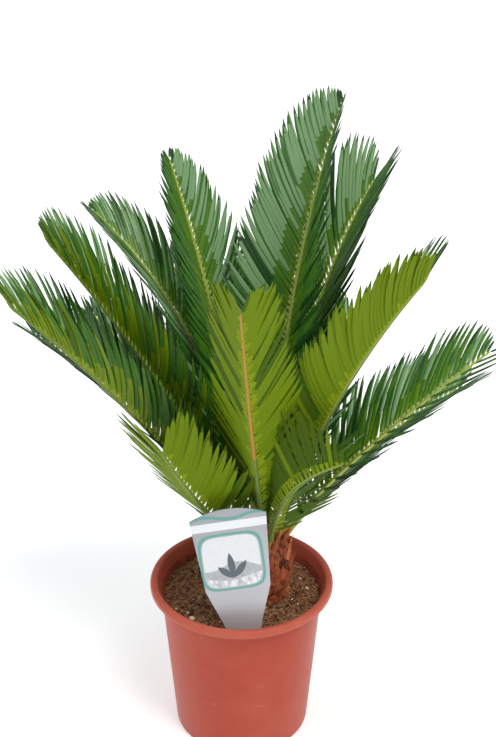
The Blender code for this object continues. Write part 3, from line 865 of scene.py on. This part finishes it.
def lean_and_roughen(made):
    """Lean the turned trunk to the right and press the relief of the bark into it."""
    for vertex in made.data.vertices:
        place = vertex.co
        share = (place.z - TRUNK_FOOT.z) / (CROWN_CENTRE.z - TRUNK_FOOT.z)
        angle = math.atan2(place.y, place.x)
        radius = math.hypot(place.x, place.y)
        relief = leaf_base_relief(angle, share) if 0.0 < share < 1.0 else 0.0
        streaks = noise.noise(Vector((9.0 * math.cos(angle), 9.0 * math.sin(angle), 24.0 * place.z)))
        grain = noise.noise(Vector((300.0 * place.x, 300.0 * place.y, 90.0 * place.z)))
        fade = min(1.0, radius / CROWN_RADIUS)
        radius += RELIEF_SHARE * relief + fade * (BARK_STREAKS * streaks + BARK_GRAIN * grain)
        centre = TRUNK_FOOT.lerp(CROWN_CENTRE, min(share, 1.0))
        vertex.co = (centre.x + radius * math.cos(angle), centre.y + radius * math.sin(angle), place.z)


def bark_finish(trunk):
    """Reddish brown bark, darker in its hollows, with upright fibres."""
    finish = Finish("bark", trunk.bark, 0.85, Specular_IOR_Level=0.25)
    fibres = finish.noise(60.0, 5.0, 0.7, finish.stretched((7.0, 7.0, 1.1)))
    blotches = finish.noise(70.0, 3.0, 0.6)
    brown = finish.mix(finish.band(fibres, 0.38, 0.60), trunk.dark_bark, trunk.bark)
    finish.set("Base Color", finish.mix(finish.band(blotches, 0.50, 0.72) * 0.7, brown, trunk.fibre))
    finish.bump(fibres + 0.4 * blotches, 0.9, 0.0012)
    return finish


def plain_bark_finishes(trunk):
    """Finishes dealt out to the leaf bases and the fibres, from dark to woolly."""
    named = (("scale_dark", trunk.dark_bark), ("scale_middle", halfway(trunk.dark_bark, trunk.bark)),
             ("scale_bark", trunk.bark), ("scale_wool", trunk.fibre))
    return plain_finishes(named, 0.85, specular=0.25, least=0.75, rise=0.2, scale=240.0)


def scale_shape():
    """One old leaf base, lying along +Z with its back to -X: a blunt tongue, thick at its foot."""
    start_afresh()
    bpy.ops.mesh.primitive_cube_add(size=1.0)
    bpy.ops.object.mode_set(mode="EDIT")
    bpy.ops.mesh.select_all(action="SELECT")
    bpy.ops.mesh.subdivide(number_cuts=2)
    bpy.ops.object.mode_set(mode="OBJECT")
    made = bpy.context.view_layer.objects.active
    for vertex in made.data.vertices:
        up = vertex.co.z + 0.5
        across = 2.0 * vertex.co.y
        narrow = 1.0 - 0.78 * up ** 1.8
        thick = 1.0 - 0.62 * up
        belly = 1.0 - 0.5 * across * across
        out = (vertex.co.x + 0.5) * thick * belly + 0.30 * up * up
        vertex.co = (out, 0.5 * across * narrow, up * (1.0 - 0.10 * across * across))
    return take_shape()


def trunk_place(angle, share):
    """A place on the trunk's side, and the way that points out of it there."""
    outward = on_circle(angle)
    centre = TRUNK_FOOT.lerp(CROWN_CENTRE, share)
    return centre + trunk_radius(share) * outward, outward


def scale_place(foot, angle, lean, size):
    """Where a leaf base stands: its foot, the way round the trunk, its lean and its size."""
    return (Matrix.Translation(foot) @ Matrix.Rotation(angle, 4, "Z") @ Matrix.Rotation(lean, 4, "Y")
            @ Matrix.Diagonal((*size, 1.0)))


def stand_scales(batch, trunk):
    """Old leaf bases in a rising spiral, and woolly pointed scales round the crown's dome."""
    shape = scale_shape()
    draw = random.Random(SCALE_SEED)
    for i in range(trunk.scales):
        share = 0.02 + 0.90 * (i / trunk.scales) ** 0.95
        angle = GOLDEN_ANGLE * i + draw.uniform(-0.08, 0.08)
        foot, outward = trunk_place(angle, share)
        length = trunk.scale_length * draw.uniform(*SCALE_SIZES)
        width = trunk.scale_width * draw.uniform(*SCALE_SIZES)
        thick = SCALE_THICKNESS * draw.uniform(0.8, 1.2)
        lean = math.radians(draw.uniform(*SCALE_LEANS))
        place = scale_place(foot - SCALE_SEAT * outward, angle, lean, (thick, width, length))
        batch.add_copy(shape, place, pick_tone(draw, SCALE_TONES))
    for i in range(CROWN_SCALES):
        share = (i + 0.5) / CROWN_SCALES
        up = math.radians(8.0 + 74.0 * share)
        angle = GOLDEN_ANGLE * i
        outward = on_circle(angle)
        seat = CROWN_SCALE_SEAT * CROWN_RADIUS
        foot = CROWN_CENTRE + seat * (math.cos(up) * outward + math.sin(up) * UPWARD)
        lean = 0.5 * (0.5 * math.pi - up) * draw.uniform(0.3, 0.9)
        size = (CROWN_SCALE_THICKNESS, CROWN_SCALE_WIDTH, draw.uniform(*CROWN_SCALE_LENGTHS))
        batch.add_copy(shape, scale_place(foot, angle, lean, size), pick_tone(draw, CROWN_SCALE_TONES))


def grow_fibres(batch, trunk):
    """Fine upright fibres that fray out between the leaf bases and round the crown."""
    draw = random.Random(FIBRE_SEED)
    for _ in range(trunk.fibres):
        share = draw.random() ** 0.7
        angle = draw.uniform(0.0, math.tau)
        foot, outward = trunk_place(angle, share)
        foot = foot + draw.uniform(0.0, 0.0012) * outward
        sideways = Vector((-outward.y, outward.x, 0.0))
        length = draw.uniform(*FIBRE_LENGTHS)
        stray = outward * draw.uniform(0.05, 0.45) + sideways * draw.uniform(-0.35, 0.35)
        bend = outward * draw.uniform(-0.1, 0.25) + sideways * draw.uniform(-0.3, 0.3)
        rings = []
        for k in range(FIBRE_RINGS):
            t = k / FIBRE_RINGS
            centre = foot + length * (t * (UPWARD + stray) + t * t * bend)
            radius = FIBRE_RADIUS * (1.0 - 0.6 * t)
            rings.append([centre + radius * (math.cos(corner) * outward + math.sin(corner) * sideways)
                          for corner in FIBRE_CORNERS])
        tip = foot + length * (UPWARD + stray + bend)
        tone = pick_tone(draw, FIBRE_TONES)
        batch.add_loft(rings, lambda ring, side, tone=tone: tone, tip)


# Fronds

def direction(heading, rise):
    """Unit vector from a heading round +X and a rise above level, both in degrees."""
    turn = math.radians(heading)
    up = math.radians(rise)
    return Vector((math.cos(up) * math.cos(turn), math.cos(up) * math.sin(turn), math.sin(up)))


def frond_frame(frond, share):
    """Growing direction, right-hand side and upper face of a frond at a share of its length."""
    heading = frond.heading + frond.sweep * share ** SWEEP_EASE
    rise = frond.rise - frond.droop * share ** DROOP_EASE
    along = direction(heading, rise)
    turn = math.radians(heading)
    side = Vector((math.sin(turn), -math.cos(turn), 0.0))
    face = side.cross(along)
    tilt = Matrix.Rotation(math.radians(frond.roll + frond.twist * share), 3, along)
    return along, tilt @ side, tilt @ face


def frond_curve(frond, start):
    """Points evenly along the rib, found by stepping along its direction."""
    points = [start.copy()]
    step = frond.length / CURVE_STEPS
    for i in range(CURVE_STEPS):
        along = frond_frame(frond, (i + 0.5) / CURVE_STEPS)[0]
        points.append(points[-1] + step * along)
    return points


def curve_point(points, share):
    """The point at a share of a curve's length."""
    place = min(max(share, 0.0), 1.0) * CURVE_STEPS
    index = min(int(place), CURVE_STEPS - 1)
    return points[index].lerp(points[index + 1], place - index)


def rib_size(share):
    """Width of the rib at a share of its length."""
    return between(RIB_BASE_SIZE, RIB_TIP_SIZE, share)


def rib_corners(frond, centre, share):
    """The plain rib's section round a centre: upper left, upper right and keel."""
    side, face = frond_frame(frond, share)[1:]
    size = rib_size(share)
    upper = centre + RIB_FACE_SHARE * size * face
    return [upper - 0.5 * size * side, upper + 0.5 * size * side, centre - RIB_KEEL_SHARE * size * face]


def frond_start(frond, trunk_tree):
    """The nearest start to the crown's dome that leaves the whole stem end its gap."""
    distance = CROWN_RADIUS
    outward = direction(frond.heading, frond.lift)
    while True:
        start = CROWN_CENTRE + distance * outward
        corners = rib_corners(frond, start, 0.0)
        nearest = min(trunk_tree.find_nearest(corner)[3] for corner in corners)
        outside = all((corner - CROWN_CENTRE).length > CROWN_RADIUS for corner in corners)
        if outside and nearest > GAP:
            return start
        distance += START_STEP


def tree_of_node(node):
    """A search tree over a solid of the frame."""
    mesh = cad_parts[node].data
    corners = [vertex.co.copy() for vertex in mesh.vertices]
    return BVHTree.FromPolygons(corners, [tuple(face.vertices) for face in mesh.polygons])


def leaflet_length(frond, share):
    """Length of a leaflet at a share of the leafy part of the rib."""
    young = min(1.0, FIRST_LEAFLET_SHARE + (1.0 - FIRST_LEAFLET_SHARE) * share / frond.full_from)
    past = max(0.0, (share - frond.full_until) / (1.0 - frond.full_until))
    return frond.leaflet * young * (1.0 - frond.tip_loss * past ** LOSS_EASE)


def leaflet_angle(frond, share):
    """Angle in degrees between a leaflet and the rib."""
    closed = (LEAFLET_TIP_ANGLE - LEAFLET_BASE_ANGLE) * share ** ANGLE_EASE
    return LEAFLET_BASE_ANGLE + frond.spread + closed


def is_lost(frond, row, index):
    """Whether a leaflet is missing; the gaps are spread evenly along the right-hand row."""
    return row > 0 and int((index + 1) * frond.lost) > int(index * frond.lost)


UPPER_FINISHES = ("pale", "fresh", "middle", "green", "blue", "deep", "tip")
UNDER_FINISHES = ("under_pale", "under", "under_green", "under_deep")
LEAF_FINISHES = UPPER_FINISHES + UNDER_FINISHES
RING_SHARES = (0.0, 0.05, 0.13, 0.32, 0.54, 0.74, 0.89)
RING_WIDTHS = (0.50, 0.62, 0.92, 1.00, 1.00, 0.86, 0.52)
# Section of a leaflet: across in half widths and up in thicknesses, round from one margin
SECTION = ((-1.0, -0.40), (-0.52, 0.42), (0.0, 0.14), (0.52, 0.42), (1.0, -0.40), (0.0, -0.60))
UPPER_SIDES = 4
# Painted shade: the margin nearer the crown is darker than the rest of a leaflet, on some up to its midrib,
# as a shadow line between leaflets
PAINTED_SHADE_FINISH = {"blue": "green", "fresh": "green", "middle": "green", "green": "deep", "pale": "fresh"}
SHADED_HALF_SHARE = 0.4
# More of the leaflets near the crown are dark, a painted shade of the inner crown, and all of those at the
# frond's very end
PAINTED_SHADE_REACH = 0.38
DARK_SHARE = 0.06
PAINTED_SHADE_INNER_SHARE = 0.5
SHADED_INNER_SHARE = 0.7
DARK_END = 0.97
GREEN_UNDER_LOSS = 0.1  # by which fewer are green beneath than are bluish above


def leaf_finish_at(draw, frond, share, row):
    """Which finish each part of one leaflet has: yellow-green by the rib, darker to its tip, with a painted
    bluish sheen on some and painted shade near the crown and along one margin.
    """
    upper = ["pale", "fresh", draw.choice(("fresh", "middle"))]
    # Painted sheen: bluish leaflets, none of them in the row without sheen
    blue = 0.0 if row == frond.row_without_sheen else frond.blue
    if draw.random() < blue:
        upper += ["blue", "blue", "blue", draw.choice(("blue", "green", "tip"))]
        upper[2] = draw.choice(("middle", "blue"))
    else:
        upper += [draw.choice(("middle", "green")), draw.choice(("middle", "green")), "green"]
        upper.append(draw.choice(("green", "deep", "tip")))
    # Painted shade: leaflets near the crown are darker above and beneath
    inner = max(0.0, 1.0 - share / PAINTED_SHADE_REACH)
    if draw.random() < DARK_SHARE + PAINTED_SHADE_INNER_SHARE * inner:
        upper[2:6] = ["green", "deep", "deep", "deep"]
    lower = ["under_pale"] * draw.choice((1, 1, 2))
    lower += ["under"] * (len(upper) - len(lower))
    lower[-1] = draw.choice(("under", "under_deep"))
    if draw.random() < blue - GREEN_UNDER_LOSS:
        first = draw.choice((2, 3, 4))
        lower[first:] = ["under_green"] * (len(lower) - first)
    elif draw.random() < frond.shade + SHADED_INNER_SHARE * inner:
        lower[2:] = ["under_deep"] * (len(lower) - 2)
    if share > DARK_END:
        upper[1:] = ["green", "green", "deep", "deep", "tip", "tip"]
    # Painted shade along the margin nearer the crown, and on some leaflets up to the midrib
    painted_shade = [PAINTED_SHADE_FINISH.get(name, name) for name in upper]
    shaded_half = draw.random() < SHADED_HALF_SHARE

    def finish_at(ring, side):
        if side >= UPPER_SIDES:
            names = lower
        elif side == 0 or (side == 1 and shaded_half):
            names = painted_shade
        else:
            names = upper
        return LEAF_FINISHES.index(names[ring])

    return finish_at


def add_leaflet(batch, fronds, frond, points, share, row, draw):
    """One leaflet: a thin channelled blade that curves forward and droops a little."""
    rib_share = PETIOLE_SHARE + (1.0 - PETIOLE_SHARE) * share
    along, side, face = frond_frame(frond, rib_share)
    clump = noise.noise(Vector((share * 17.0, 3.1 * row, 0.37 * frond.heading)))
    keel = math.radians(frond.keel + CLUMP_KEEL * clump + draw.uniform(*KEEL_RANGE))
    angle = math.radians(leaflet_angle(frond, share) + CLUMP_ANGLE * clump + draw.uniform(*ANGLE_RANGE))
    outward = math.cos(keel) * row * side + math.sin(keel) * face
    normal = math.cos(keel) * face - math.sin(keel) * row * side
    aim = math.cos(angle) * along + math.sin(angle) * outward
    forward = (along - along.dot(aim) * aim).normalized()
    full = leaflet_length(frond, share)
    length = full * draw.uniform(*LENGTH_RANGE)
    half_width = 0.5 * frond.broad * fronds.width * min(1.0, 0.55 + 0.5 * full / frond.leaflet)
    curl = LEAFLET_CURL * draw.uniform(*CURL_RANGE)
    droop = draw.uniform(*DROOP_RANGE)
    roll = math.radians(draw.uniform(*ROLL_RANGE)) * row
    size = rib_size(rib_share)
    root = curve_point(points, rib_share)
    root = root + LEAFLET_ROOT_ACROSS * size * row * side + LEAFLET_ROOT_UP * size * face

    def centre(t):
        bow = curl * (t * t - CURL_CROSSING * t)
        return root + length * (t * aim + bow * forward - droop * t * t * normal)

    rings = []
    for t, wide in zip(RING_SHARES, RING_WIDTHS):
        tangent = (aim + curl * (2.0 * t - CURL_CROSSING) * forward - 2.0 * droop * t * normal).normalized()
        across = (forward - forward.dot(tangent) * tangent).normalized()
        across = Matrix.Rotation(roll * (1.0 - 0.5 * t), 3, tangent) @ across
        up = tangent.cross(across) * (1.0 if tangent.cross(across).dot(normal) > 0.0 else -1.0)
        thick = fronds.thickness * (1.5 if t < 0.1 else 1.0 - 0.35 * t)
        middle = centre(t)
        rings.append([middle + u * wide * half_width * across + v * thick * up for u, v in SECTION])
    batch.add_loft(rings, leaf_finish_at(draw, frond, share, row), centre(1.0))


def add_leaflets(batch, fronds, frond, points, seed):
    """Both rows of leaflets along one rib."""
    draw = random.Random(seed)
    count = round(frond.length * (1.0 - PETIOLE_SHARE) / fronds.pitch)
    for index in range(count):
        for row in (-1, 1):
            if is_lost(frond, row, index):
                continue
            shift = ROW_SHIFT * row + draw.uniform(*SHIFT_RANGE)
            share = min(max((index + 0.5 + shift) / count, 0.0), LAST_LEAFLET_SHARE)
            add_leaflet(batch, fronds, frond, points, share, row, draw)


RIB_FINISHES = ("rib_pale", "rib_green", "rib_orange")
# Section of the rib: across and up in rib sizes, round from the upper left
RIB_SECTION = ((-0.50, 0.24), (-0.36, 0.40), (-0.10, 0.33), (0.10, 0.33), (0.36, 0.40), (0.50, 0.24),
               (0.40, -0.12), (0.22, -0.42), (0.0, -0.52), (-0.22, -0.42), (-0.40, -0.12))
RIB_UPPER_SIDES = 6
RIB_RINGS = 54
# A stem is woody at its foot, and an older rib is orange beyond its green start
WOODY_REACH = 0.1
ORANGE_START = 0.22
ORANGE_BLEND = 0.25
ORANGE_LEVEL = 0.55
GREEN_END = 0.4


def rib_tone(frond, share, stray):
    """Finish of the rib at a share of its length, with a little stray in its age."""
    aged = frond.age * min(1.0, max(0.0, (share - ORANGE_START) / ORANGE_BLEND))
    woody = 0.8 * max(0.0, 1.0 - share / WOODY_REACH)
    if aged + woody + stray > ORANGE_LEVEL:
        return "rib_orange"
    return "rib_green" if share < GREEN_END and frond.age else "rib_pale"


def add_rib(batch, frond, points, seed):
    """The rib and its stem, which swells where it joins the crown."""
    draw = random.Random(seed)
    rings = []
    tones = []
    for i in range(RIB_RINGS):
        share = i / RIB_RINGS
        along, side, face = frond_frame(frond, share)
        size = rib_size(share) * (1.0 + STEM_SWELL * max(0.0, 1.0 - share / SWELL_REACH) ** SWELL_EASE)
        centre = curve_point(points, share)
        if i == 0:
            centre = centre - STEM_SINK * along
        rings.append([centre + size * (u * side + v * face) for u, v in RIB_SECTION])
        tones.append(rib_tone(frond, share, draw.uniform(-0.15, 0.15)))

    def finish_at(ring, side):
        if side >= RIB_UPPER_SIDES and tones[ring] != "rib_orange":
            return RIB_FINISHES.index("rib_green")
        return RIB_FINISHES.index(tones[ring])

    batch.add_loft(rings, finish_at, points[-1])


def leaf_finishes(fronds):
    """Finishes dealt out to the leaflets: waxy above and duller beneath."""
    upper = [("leaf_" + name, getattr(fronds, name)) for name in UPPER_FINISHES]
    under = [("leaf_" + name, getattr(fronds, name)) for name in UNDER_FINISHES]
    waxy = plain_finishes(upper, 0.34, specular=0.5, least=0.28, rise=0.14, scale=90.0, detail=3.0)
    dull = plain_finishes(under, 0.55, specular=0.1, least=0.49, rise=0.14, scale=90.0, detail=3.0)
    return waxy + dull


def rib_finishes(fronds):
    """Smooth finishes of the ribs."""
    named = [("frond_" + name, getattr(fronds, name)) for name in RIB_FINISHES]
    return plain_finishes(named, 0.45, specular=0.5, least=0.40, rise=0.14, scale=120.0)


# Plant label

def label_matrix():
    """Where the label stands: leaning back, tilted in its own plane and turned a little."""
    lean = Matrix.Rotation(-LABEL_LEAN, 4, "X")
    tilt = Matrix.Rotation(-LABEL_TILT, 4, "Y")
    turn = Matrix.Rotation(LABEL_TURN, 4, "Z")
    return Matrix.Translation(LABEL_FOOT) @ turn @ lean @ tilt


def label_stations():
    """Height and half width up the card, with its arched top."""
    stations = list(LABEL_STATIONS)
    for i in range(1, LABEL_ARC_STEPS):
        across = 1.0 - i / LABEL_ARC_STEPS
        height = between(LABEL_SIDE_HEIGHT, LABEL_HEIGHT, 1.0 - across * across)
        stations.append((height, 0.5 * LABEL_WIDTH * across))
    return stations


def draw_card():
    """The flat card in its own X and Z, drawn up from its stake by extruding its top edge."""
    start_afresh()
    stations = label_stations()
    height, half = stations[0]
    bpy.ops.mesh.primitive_plane_add(size=1.0)
    made = name_active("label_card")
    next_height, next_half = stations[1]
    for vertex in made.data.vertices:
        top = vertex.co.y > 0.0
        across = next_half if top else half
        vertex.co = (math.copysign(across, vertex.co.x), 0.0, next_height if top else height)
    bpy.ops.object.mode_set(mode="EDIT")
    height, half = next_height, next_half
    for next_height, next_half in stations[2:]:
        select_top_edge(made)
        rise = (0.0, 0.0, next_height - height)
        bpy.ops.mesh.extrude_region_move(TRANSFORM_OT_translate={"value": rise})
        wider = next_half / half
        bpy.ops.transform.resize(value=(wider, 1.0, 1.0), center_override=(0.0, 0.0, next_height))
        height, half = next_height, next_half
    bpy.ops.object.mode_set(mode="OBJECT")
    return made


def select_top_edge(made):
    """Select the highest edge of the mesh that is being edited."""
    bm = bmesh.from_edit_mesh(made.data)
    highest = max(vertex.co.z for vertex in bm.verts)
    for element in (*bm.verts, *bm.edges, *bm.faces):
        element.select = False
    for edge in bm.edges:
        if all(highest - vertex.co.z < 1e-6 for vertex in edge.verts):
            edge.select = True
    bm.select_flush(True)
    bmesh.update_edit_mesh(made.data)


def map_card(made):
    """A UV map in card widths and heights; the card's back lies two widths further along."""
    mesh = made.data
    layer = mesh.uv_layers.new(name="Print") if not mesh.uv_layers else mesh.uv_layers[0]
    for face in mesh.polygons:
        shift = CARD_BACK_SHIFT if face.normal.y > 0.5 else 0.0
        for corner in face.loop_indices:
            place = mesh.vertices[mesh.loops[corner].vertex_index].co
            layer.data[corner].uv = (place.x / LABEL_WIDTH + 0.5 + shift, place.z / LABEL_HEIGHT)


def label_finish(label):
    """Glossy card with a generic print: a white band, a teal wave and a framed sprig over hills."""
    finish = Finish("label_card", label.card, 0.28, Specular_IOR_Level=0.5)
    u, v = finish.parts(finish.place("UV"))[:2]
    front = finish.maths("LESS_THAN", u, CARD_FRONT_END)
    across = (LABEL_WIDTH / LABEL_HEIGHT) * (u - 0.5)
    # Painted sheen: the bare card is paler towards its foot, and most of all at its lower right
    sheen = finish.mix(finish.band(v, 0.05, 0.75), label.pale_card, label.card)
    card = finish.mix(0.35 * finish.band(across - 0.6 * v, -0.75, -0.10), sheen, label.pale_card)
    white_band = finish.stripe(v, 0.838, 0.843, 0.902, 0.907)
    wave = v - WAVE_HEIGHT - WAVE_SWING * finish.maths("SINE", 9.0 * u)
    top_wave = finish.stripe(wave, -0.014, -0.004, 0.006, 0.026)
    picture_x = finish.maths("ABSOLUTE", across + PICTURE_LEFT) / PICTURE_HALF
    picture_y = finish.maths("ABSOLUTE", v - PICTURE_HEIGHT) / PICTURE_HALF
    box = (picture_x ** PICTURE_POWER + picture_y ** PICTURE_POWER) ** (1.0 / PICTURE_POWER)
    inside = 1.0 - finish.band(box, 0.975, 1.0)
    border = finish.stripe(box, 1.02, 1.035, 1.11, 1.125)
    picture = label_picture(finish, label, across + PICTURE_LEFT, v)
    card = finish.mix(inside * front, card, picture)
    card = finish.mix(0.9 * border * front, card, label.teal)
    card = finish.mix(white_band * front, card, label.white)
    finish.set("Base Color", finish.mix(0.8 * top_wave * front, card, label.teal))
    finish.set("Roughness", 0.24 + 0.12 * finish.noise(40.0, 2.0))
    return finish


def label_picture(finish, label, across, height):
    """Two rows of hazy hills under a pale sky, with a sprig in front of them."""
    haze = finish.noise(16.0, 4.0, 0.6, finish.place("UV"))
    middle_grey = halfway(label.white, label.grey)
    sky = finish.mix(0.45 * haze, label.white, middle_grey)
    above_far = height - FAR_HILLS - 0.030 * finish.maths("SINE", 15.0 * across + 1.0)
    above_near = height - NEAR_HILLS - 0.025 * finish.maths("SINE", 11.0 * across - 1.2)
    far = finish.band(above_far, -PRINT_EDGE, PRINT_EDGE)
    near = finish.band(above_near, -PRINT_EDGE, PRINT_EDGE)
    far_hills = finish.mix(0.35 + 0.4 * haze, label.white, label.grey)
    near_hills = finish.mix(finish.band(haze, 0.35, 0.65), middle_grey, label.white)
    land = finish.mix(near, near_hills, far_hills)
    return finish.mix(sprig_mask(finish, across, height), finish.mix(far, land, sky), label.grey)


def sprig_mask(finish, across, height):
    """Three plain pointed leaves that rise from one point."""
    sprig = 0.0
    above = height - SPRIG_FOOT
    for angle, reach in SPRIG_LEAVES:
        turn = math.radians(angle)
        along = (math.sin(turn) * across + math.cos(turn) * above) / reach
        sideways = finish.maths("ABSOLUTE", math.cos(turn) * across - math.sin(turn) * above)
        middle = finish.maths("MAXIMUM", along * (1.0 - along), 0.0)
        leaf = finish.band(SPRIG_WIDTH * middle - sideways, 0.0, PRINT_EDGE)
        sprig = finish.maths("MAXIMUM", sprig, leaf)
    return sprig


# Stage

def make_floor(stage):
    """A wide pale floor."""
    start_afresh()
    bpy.ops.mesh.primitive_plane_add(size=40.0, location=(0.0, 0.0, 0.0))
    floor = name_active("studio_floor")
    finish = Finish("studio_floor", stage.floor, 0.9, Specular_IOR_Level=0.0, Emission_Color=stage.floor,
                    Emission_Strength=stage.glow)
    finish.set("Base Color", finish.mix(0.02 * finish.noise(3.0), stage.floor, (0.9, 0.9, 0.9)))
    floor.data.materials.append(finish.material)
    floor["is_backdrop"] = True


def make_light(name, azimuth, elevation, spread, strength, colour):
    """A wide soft light from far away; azimuth is round from +X, and angles are in degrees."""
    data = bpy.data.lights.new(name, "SUN")
    data.angle = math.radians(spread)
    data.energy = strength
    data.color = colour
    lamp = bpy.data.objects.new(name, data)
    lamp.rotation_euler = direction(azimuth, elevation).to_track_quat("Z", "Y").to_euler()
    bpy.context.scene.collection.objects.link(lamp)


def make_camera(stage):
    """The camera at the photograph's viewing angle."""
    data = bpy.data.cameras.new("camera")
    data.sensor_width = 36.0
    data.lens = stage.lens
    data.clip_start = 0.05
    camera = bpy.data.objects.new("camera", data)
    camera.location = stage.eye
    camera.rotation_euler = (0.5 * math.pi - stage.pitch, 0.0, 0.0)
    bpy.context.scene.collection.objects.link(camera)
    bpy.context.scene.camera = camera


def light_surroundings(strength):
    """Even, slightly cool light all round."""
    world = bpy.data.worlds.new("surroundings")
    world.use_nodes = True
    background = world.node_tree.nodes["Background"]
    background.inputs["Color"].default_value = (0.96, 0.98, 1.0, 1.0)
    background.inputs["Strength"].default_value = strength
    bpy.context.scene.world = world


# Operators

class PALM_OT_stage(Operator):
    """Set up the pale floor, the soft light and the camera"""

    bl_idname = "palm.stage"
    bl_label = "Stage"

    def execute(self, context):
        stage = context.scene.palm_stage
        make_floor(stage)
        make_light("key_light", azimuth=312.0, elevation=60.0, spread=26.0, strength=stage.key,
                   colour=(1.0, 0.97, 0.93))
        make_light("sky_light", azimuth=165.0, elevation=62.0, spread=50.0, strength=stage.fill,
                   colour=(0.86, 0.94, 1.0))
        light_surroundings(stage.world)
        make_camera(stage)
        context.scene.view_settings.view_transform = "Standard"
        return {"FINISHED"}


class PALM_OT_pot(Operator):
    """Turn the pot, with its rolled rim and drain holes"""

    bl_idname = "palm.pot"
    bl_label = "Pot"

    def execute(self, context):
        pot = context.scene.palm_pot
        made = turn_solid("pot_shell", pot_profile(pot), pot.sides)
        cut_drain_holes(made, pot)
        keep_piece(made, ["pot"], [pot_finish(pot)], smooth_angle=35)
        return {"FINISHED"}


class PALM_OT_soil(Operator):
    """Fill the pot with crumbly soil"""

    bl_idname = "palm.soil"
    bl_label = "Soil"

    def execute(self, context):
        soil = context.scene.palm_soil
        profile = soil_profile(context.scene.palm_pot)
        edge_radius = profile[1][0]
        made = turn_solid("soil_body", profile, SOIL_SIDES)
        roughen_soil(made, soil, edge_radius)
        keep_piece(made, ["soil"], [soil_finish(soil)], smooth_angle=60)
        crumbs = Batch()
        scatter_crumbs(crumbs, soil, edge_radius - CRUMB_INSET)
        keep_batch(crumbs, "soil_crumbs", ["soil"], crumb_finishes(soil), smooth_angle=60)
        return {"FINISHED"}


class PALM_OT_trunk(Operator):
    """Build the short trunk with its old leaf bases and fibres"""

    bl_idname = "palm.trunk"
    bl_label = "Trunk"

    def execute(self, context):
        trunk = context.scene.palm_trunk
        made = turn_solid("trunk_bark", trunk_profile(), TRUNK_SIDES)
        lean_and_roughen(made)
        keep_piece(made, ["trunk"], [bark_finish(trunk)], smooth_angle=60)
        scales = Batch()
        stand_scales(scales, trunk)
        keep_batch(scales, "trunk_scales", ["trunk"], plain_bark_finishes(trunk), smooth_angle=50)
        fibres = Batch()
        grow_fibres(fibres, trunk)
        keep_batch(fibres, "trunk_fibres", ["trunk"], plain_bark_finishes(trunk), smooth_angle=80)
        return {"FINISHED"}


class PALM_OT_fronds(Operator):
    """Grow the fronds: their ribs and two rows of leaflets on each"""

    bl_idname = "palm.fronds"
    bl_label = "Fronds"

    def execute(self, context):
        fronds = context.scene.palm_fronds
        trunk_tree = tree_of_node("trunk")
        leaflets = Batch()
        ribs = Batch()
        for index, frond in enumerate(FRONDS):
            points = frond_curve(frond, frond_start(frond, trunk_tree))
            add_rib(ribs, frond, points, RIB_SEED + index)
            add_leaflets(leaflets, fronds, frond, points, LEAFLET_SEED + index)
        keep_batch(leaflets, "frond_leaflets", FROND_NODES, leaf_finishes(fronds), smooth_angle=60)
        keep_batch(ribs, "frond_ribs", FROND_NODES, rib_finishes(fronds), smooth_angle=70)
        return {"FINISHED"}


class PALM_OT_label(Operator):
    """Cut the plant label and print it"""

    bl_idname = "palm.label"
    bl_label = "Plant label"

    def execute(self, context):
        made = draw_card()
        apply_modifier(made, "SOLIDIFY", thickness=LABEL_THICKNESS, offset=0.0)
        apply_modifier(made, "BEVEL", width=LABEL_EDGE_WIDTH, segments=2)
        face_outwards(made)
        map_card(made)
        made.data.transform(label_matrix())
        keep_piece(made, ["label"], [label_finish(context.scene.palm_label)], smooth_angle=40)
        return {"FINISHED"}


class PALM_PT_panel(Panel):
    """Lists the pieces of the palm in the order in which they are made"""

    bl_idname = "PALM_PT_panel"
    bl_label = "Potted sago palm"
    bl_space_type = "VIEW_3D"
    bl_region_type = "UI"
    bl_category = "Palm"

    def draw(self, context):
        for operator, name, group in STEPS:
            box = self.layout.box()
            box.operator(operator.bl_idname)
            for field in group.__annotations__:
                box.prop(getattr(context.scene, name), field)


# Each operator with the name and the class of its settings, in the order of work
STEPS = (
    (PALM_OT_stage, "palm_stage", StageSettings),
    (PALM_OT_pot, "palm_pot", PotSettings),
    (PALM_OT_soil, "palm_soil", SoilSettings),
    (PALM_OT_trunk, "palm_trunk", TrunkSettings),
    (PALM_OT_fronds, "palm_fronds", FrondSettings),
    (PALM_OT_label, "palm_label", LabelSettings),
)


def register():
    """Register the settings, the operators and the panel."""
    for operator, name, group in STEPS:
        bpy.utils.register_class(group)
        setattr(bpy.types.Scene, name, PointerProperty(type=group))
        bpy.utils.register_class(operator)
    bpy.utils.register_class(PALM_PT_panel)


def unregister():
    """Take everything out again."""
    bpy.utils.unregister_class(PALM_PT_panel)
    for operator, name, group in reversed(STEPS):
        bpy.utils.unregister_class(operator)
        delattr(bpy.types.Scene, name)
        bpy.utils.unregister_class(group)


def write_sizes():
    """Work out the solids' box and the finished model's box."""
    boxes = {"cad": cad_box, "visual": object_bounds()}
    {name: [list(corner) for corner in box] for name, box in boxes.items()}


def main():
    """Make every piece in order."""
    register()
    bpy.ops.palm.stage()
    bpy.ops.palm.pot()
    bpy.ops.palm.soil()
    bpy.ops.palm.trunk()
    bpy.ops.palm.fronds()
    bpy.ops.palm.label()
    write_sizes()


if __name__ == "__main__":
    main()
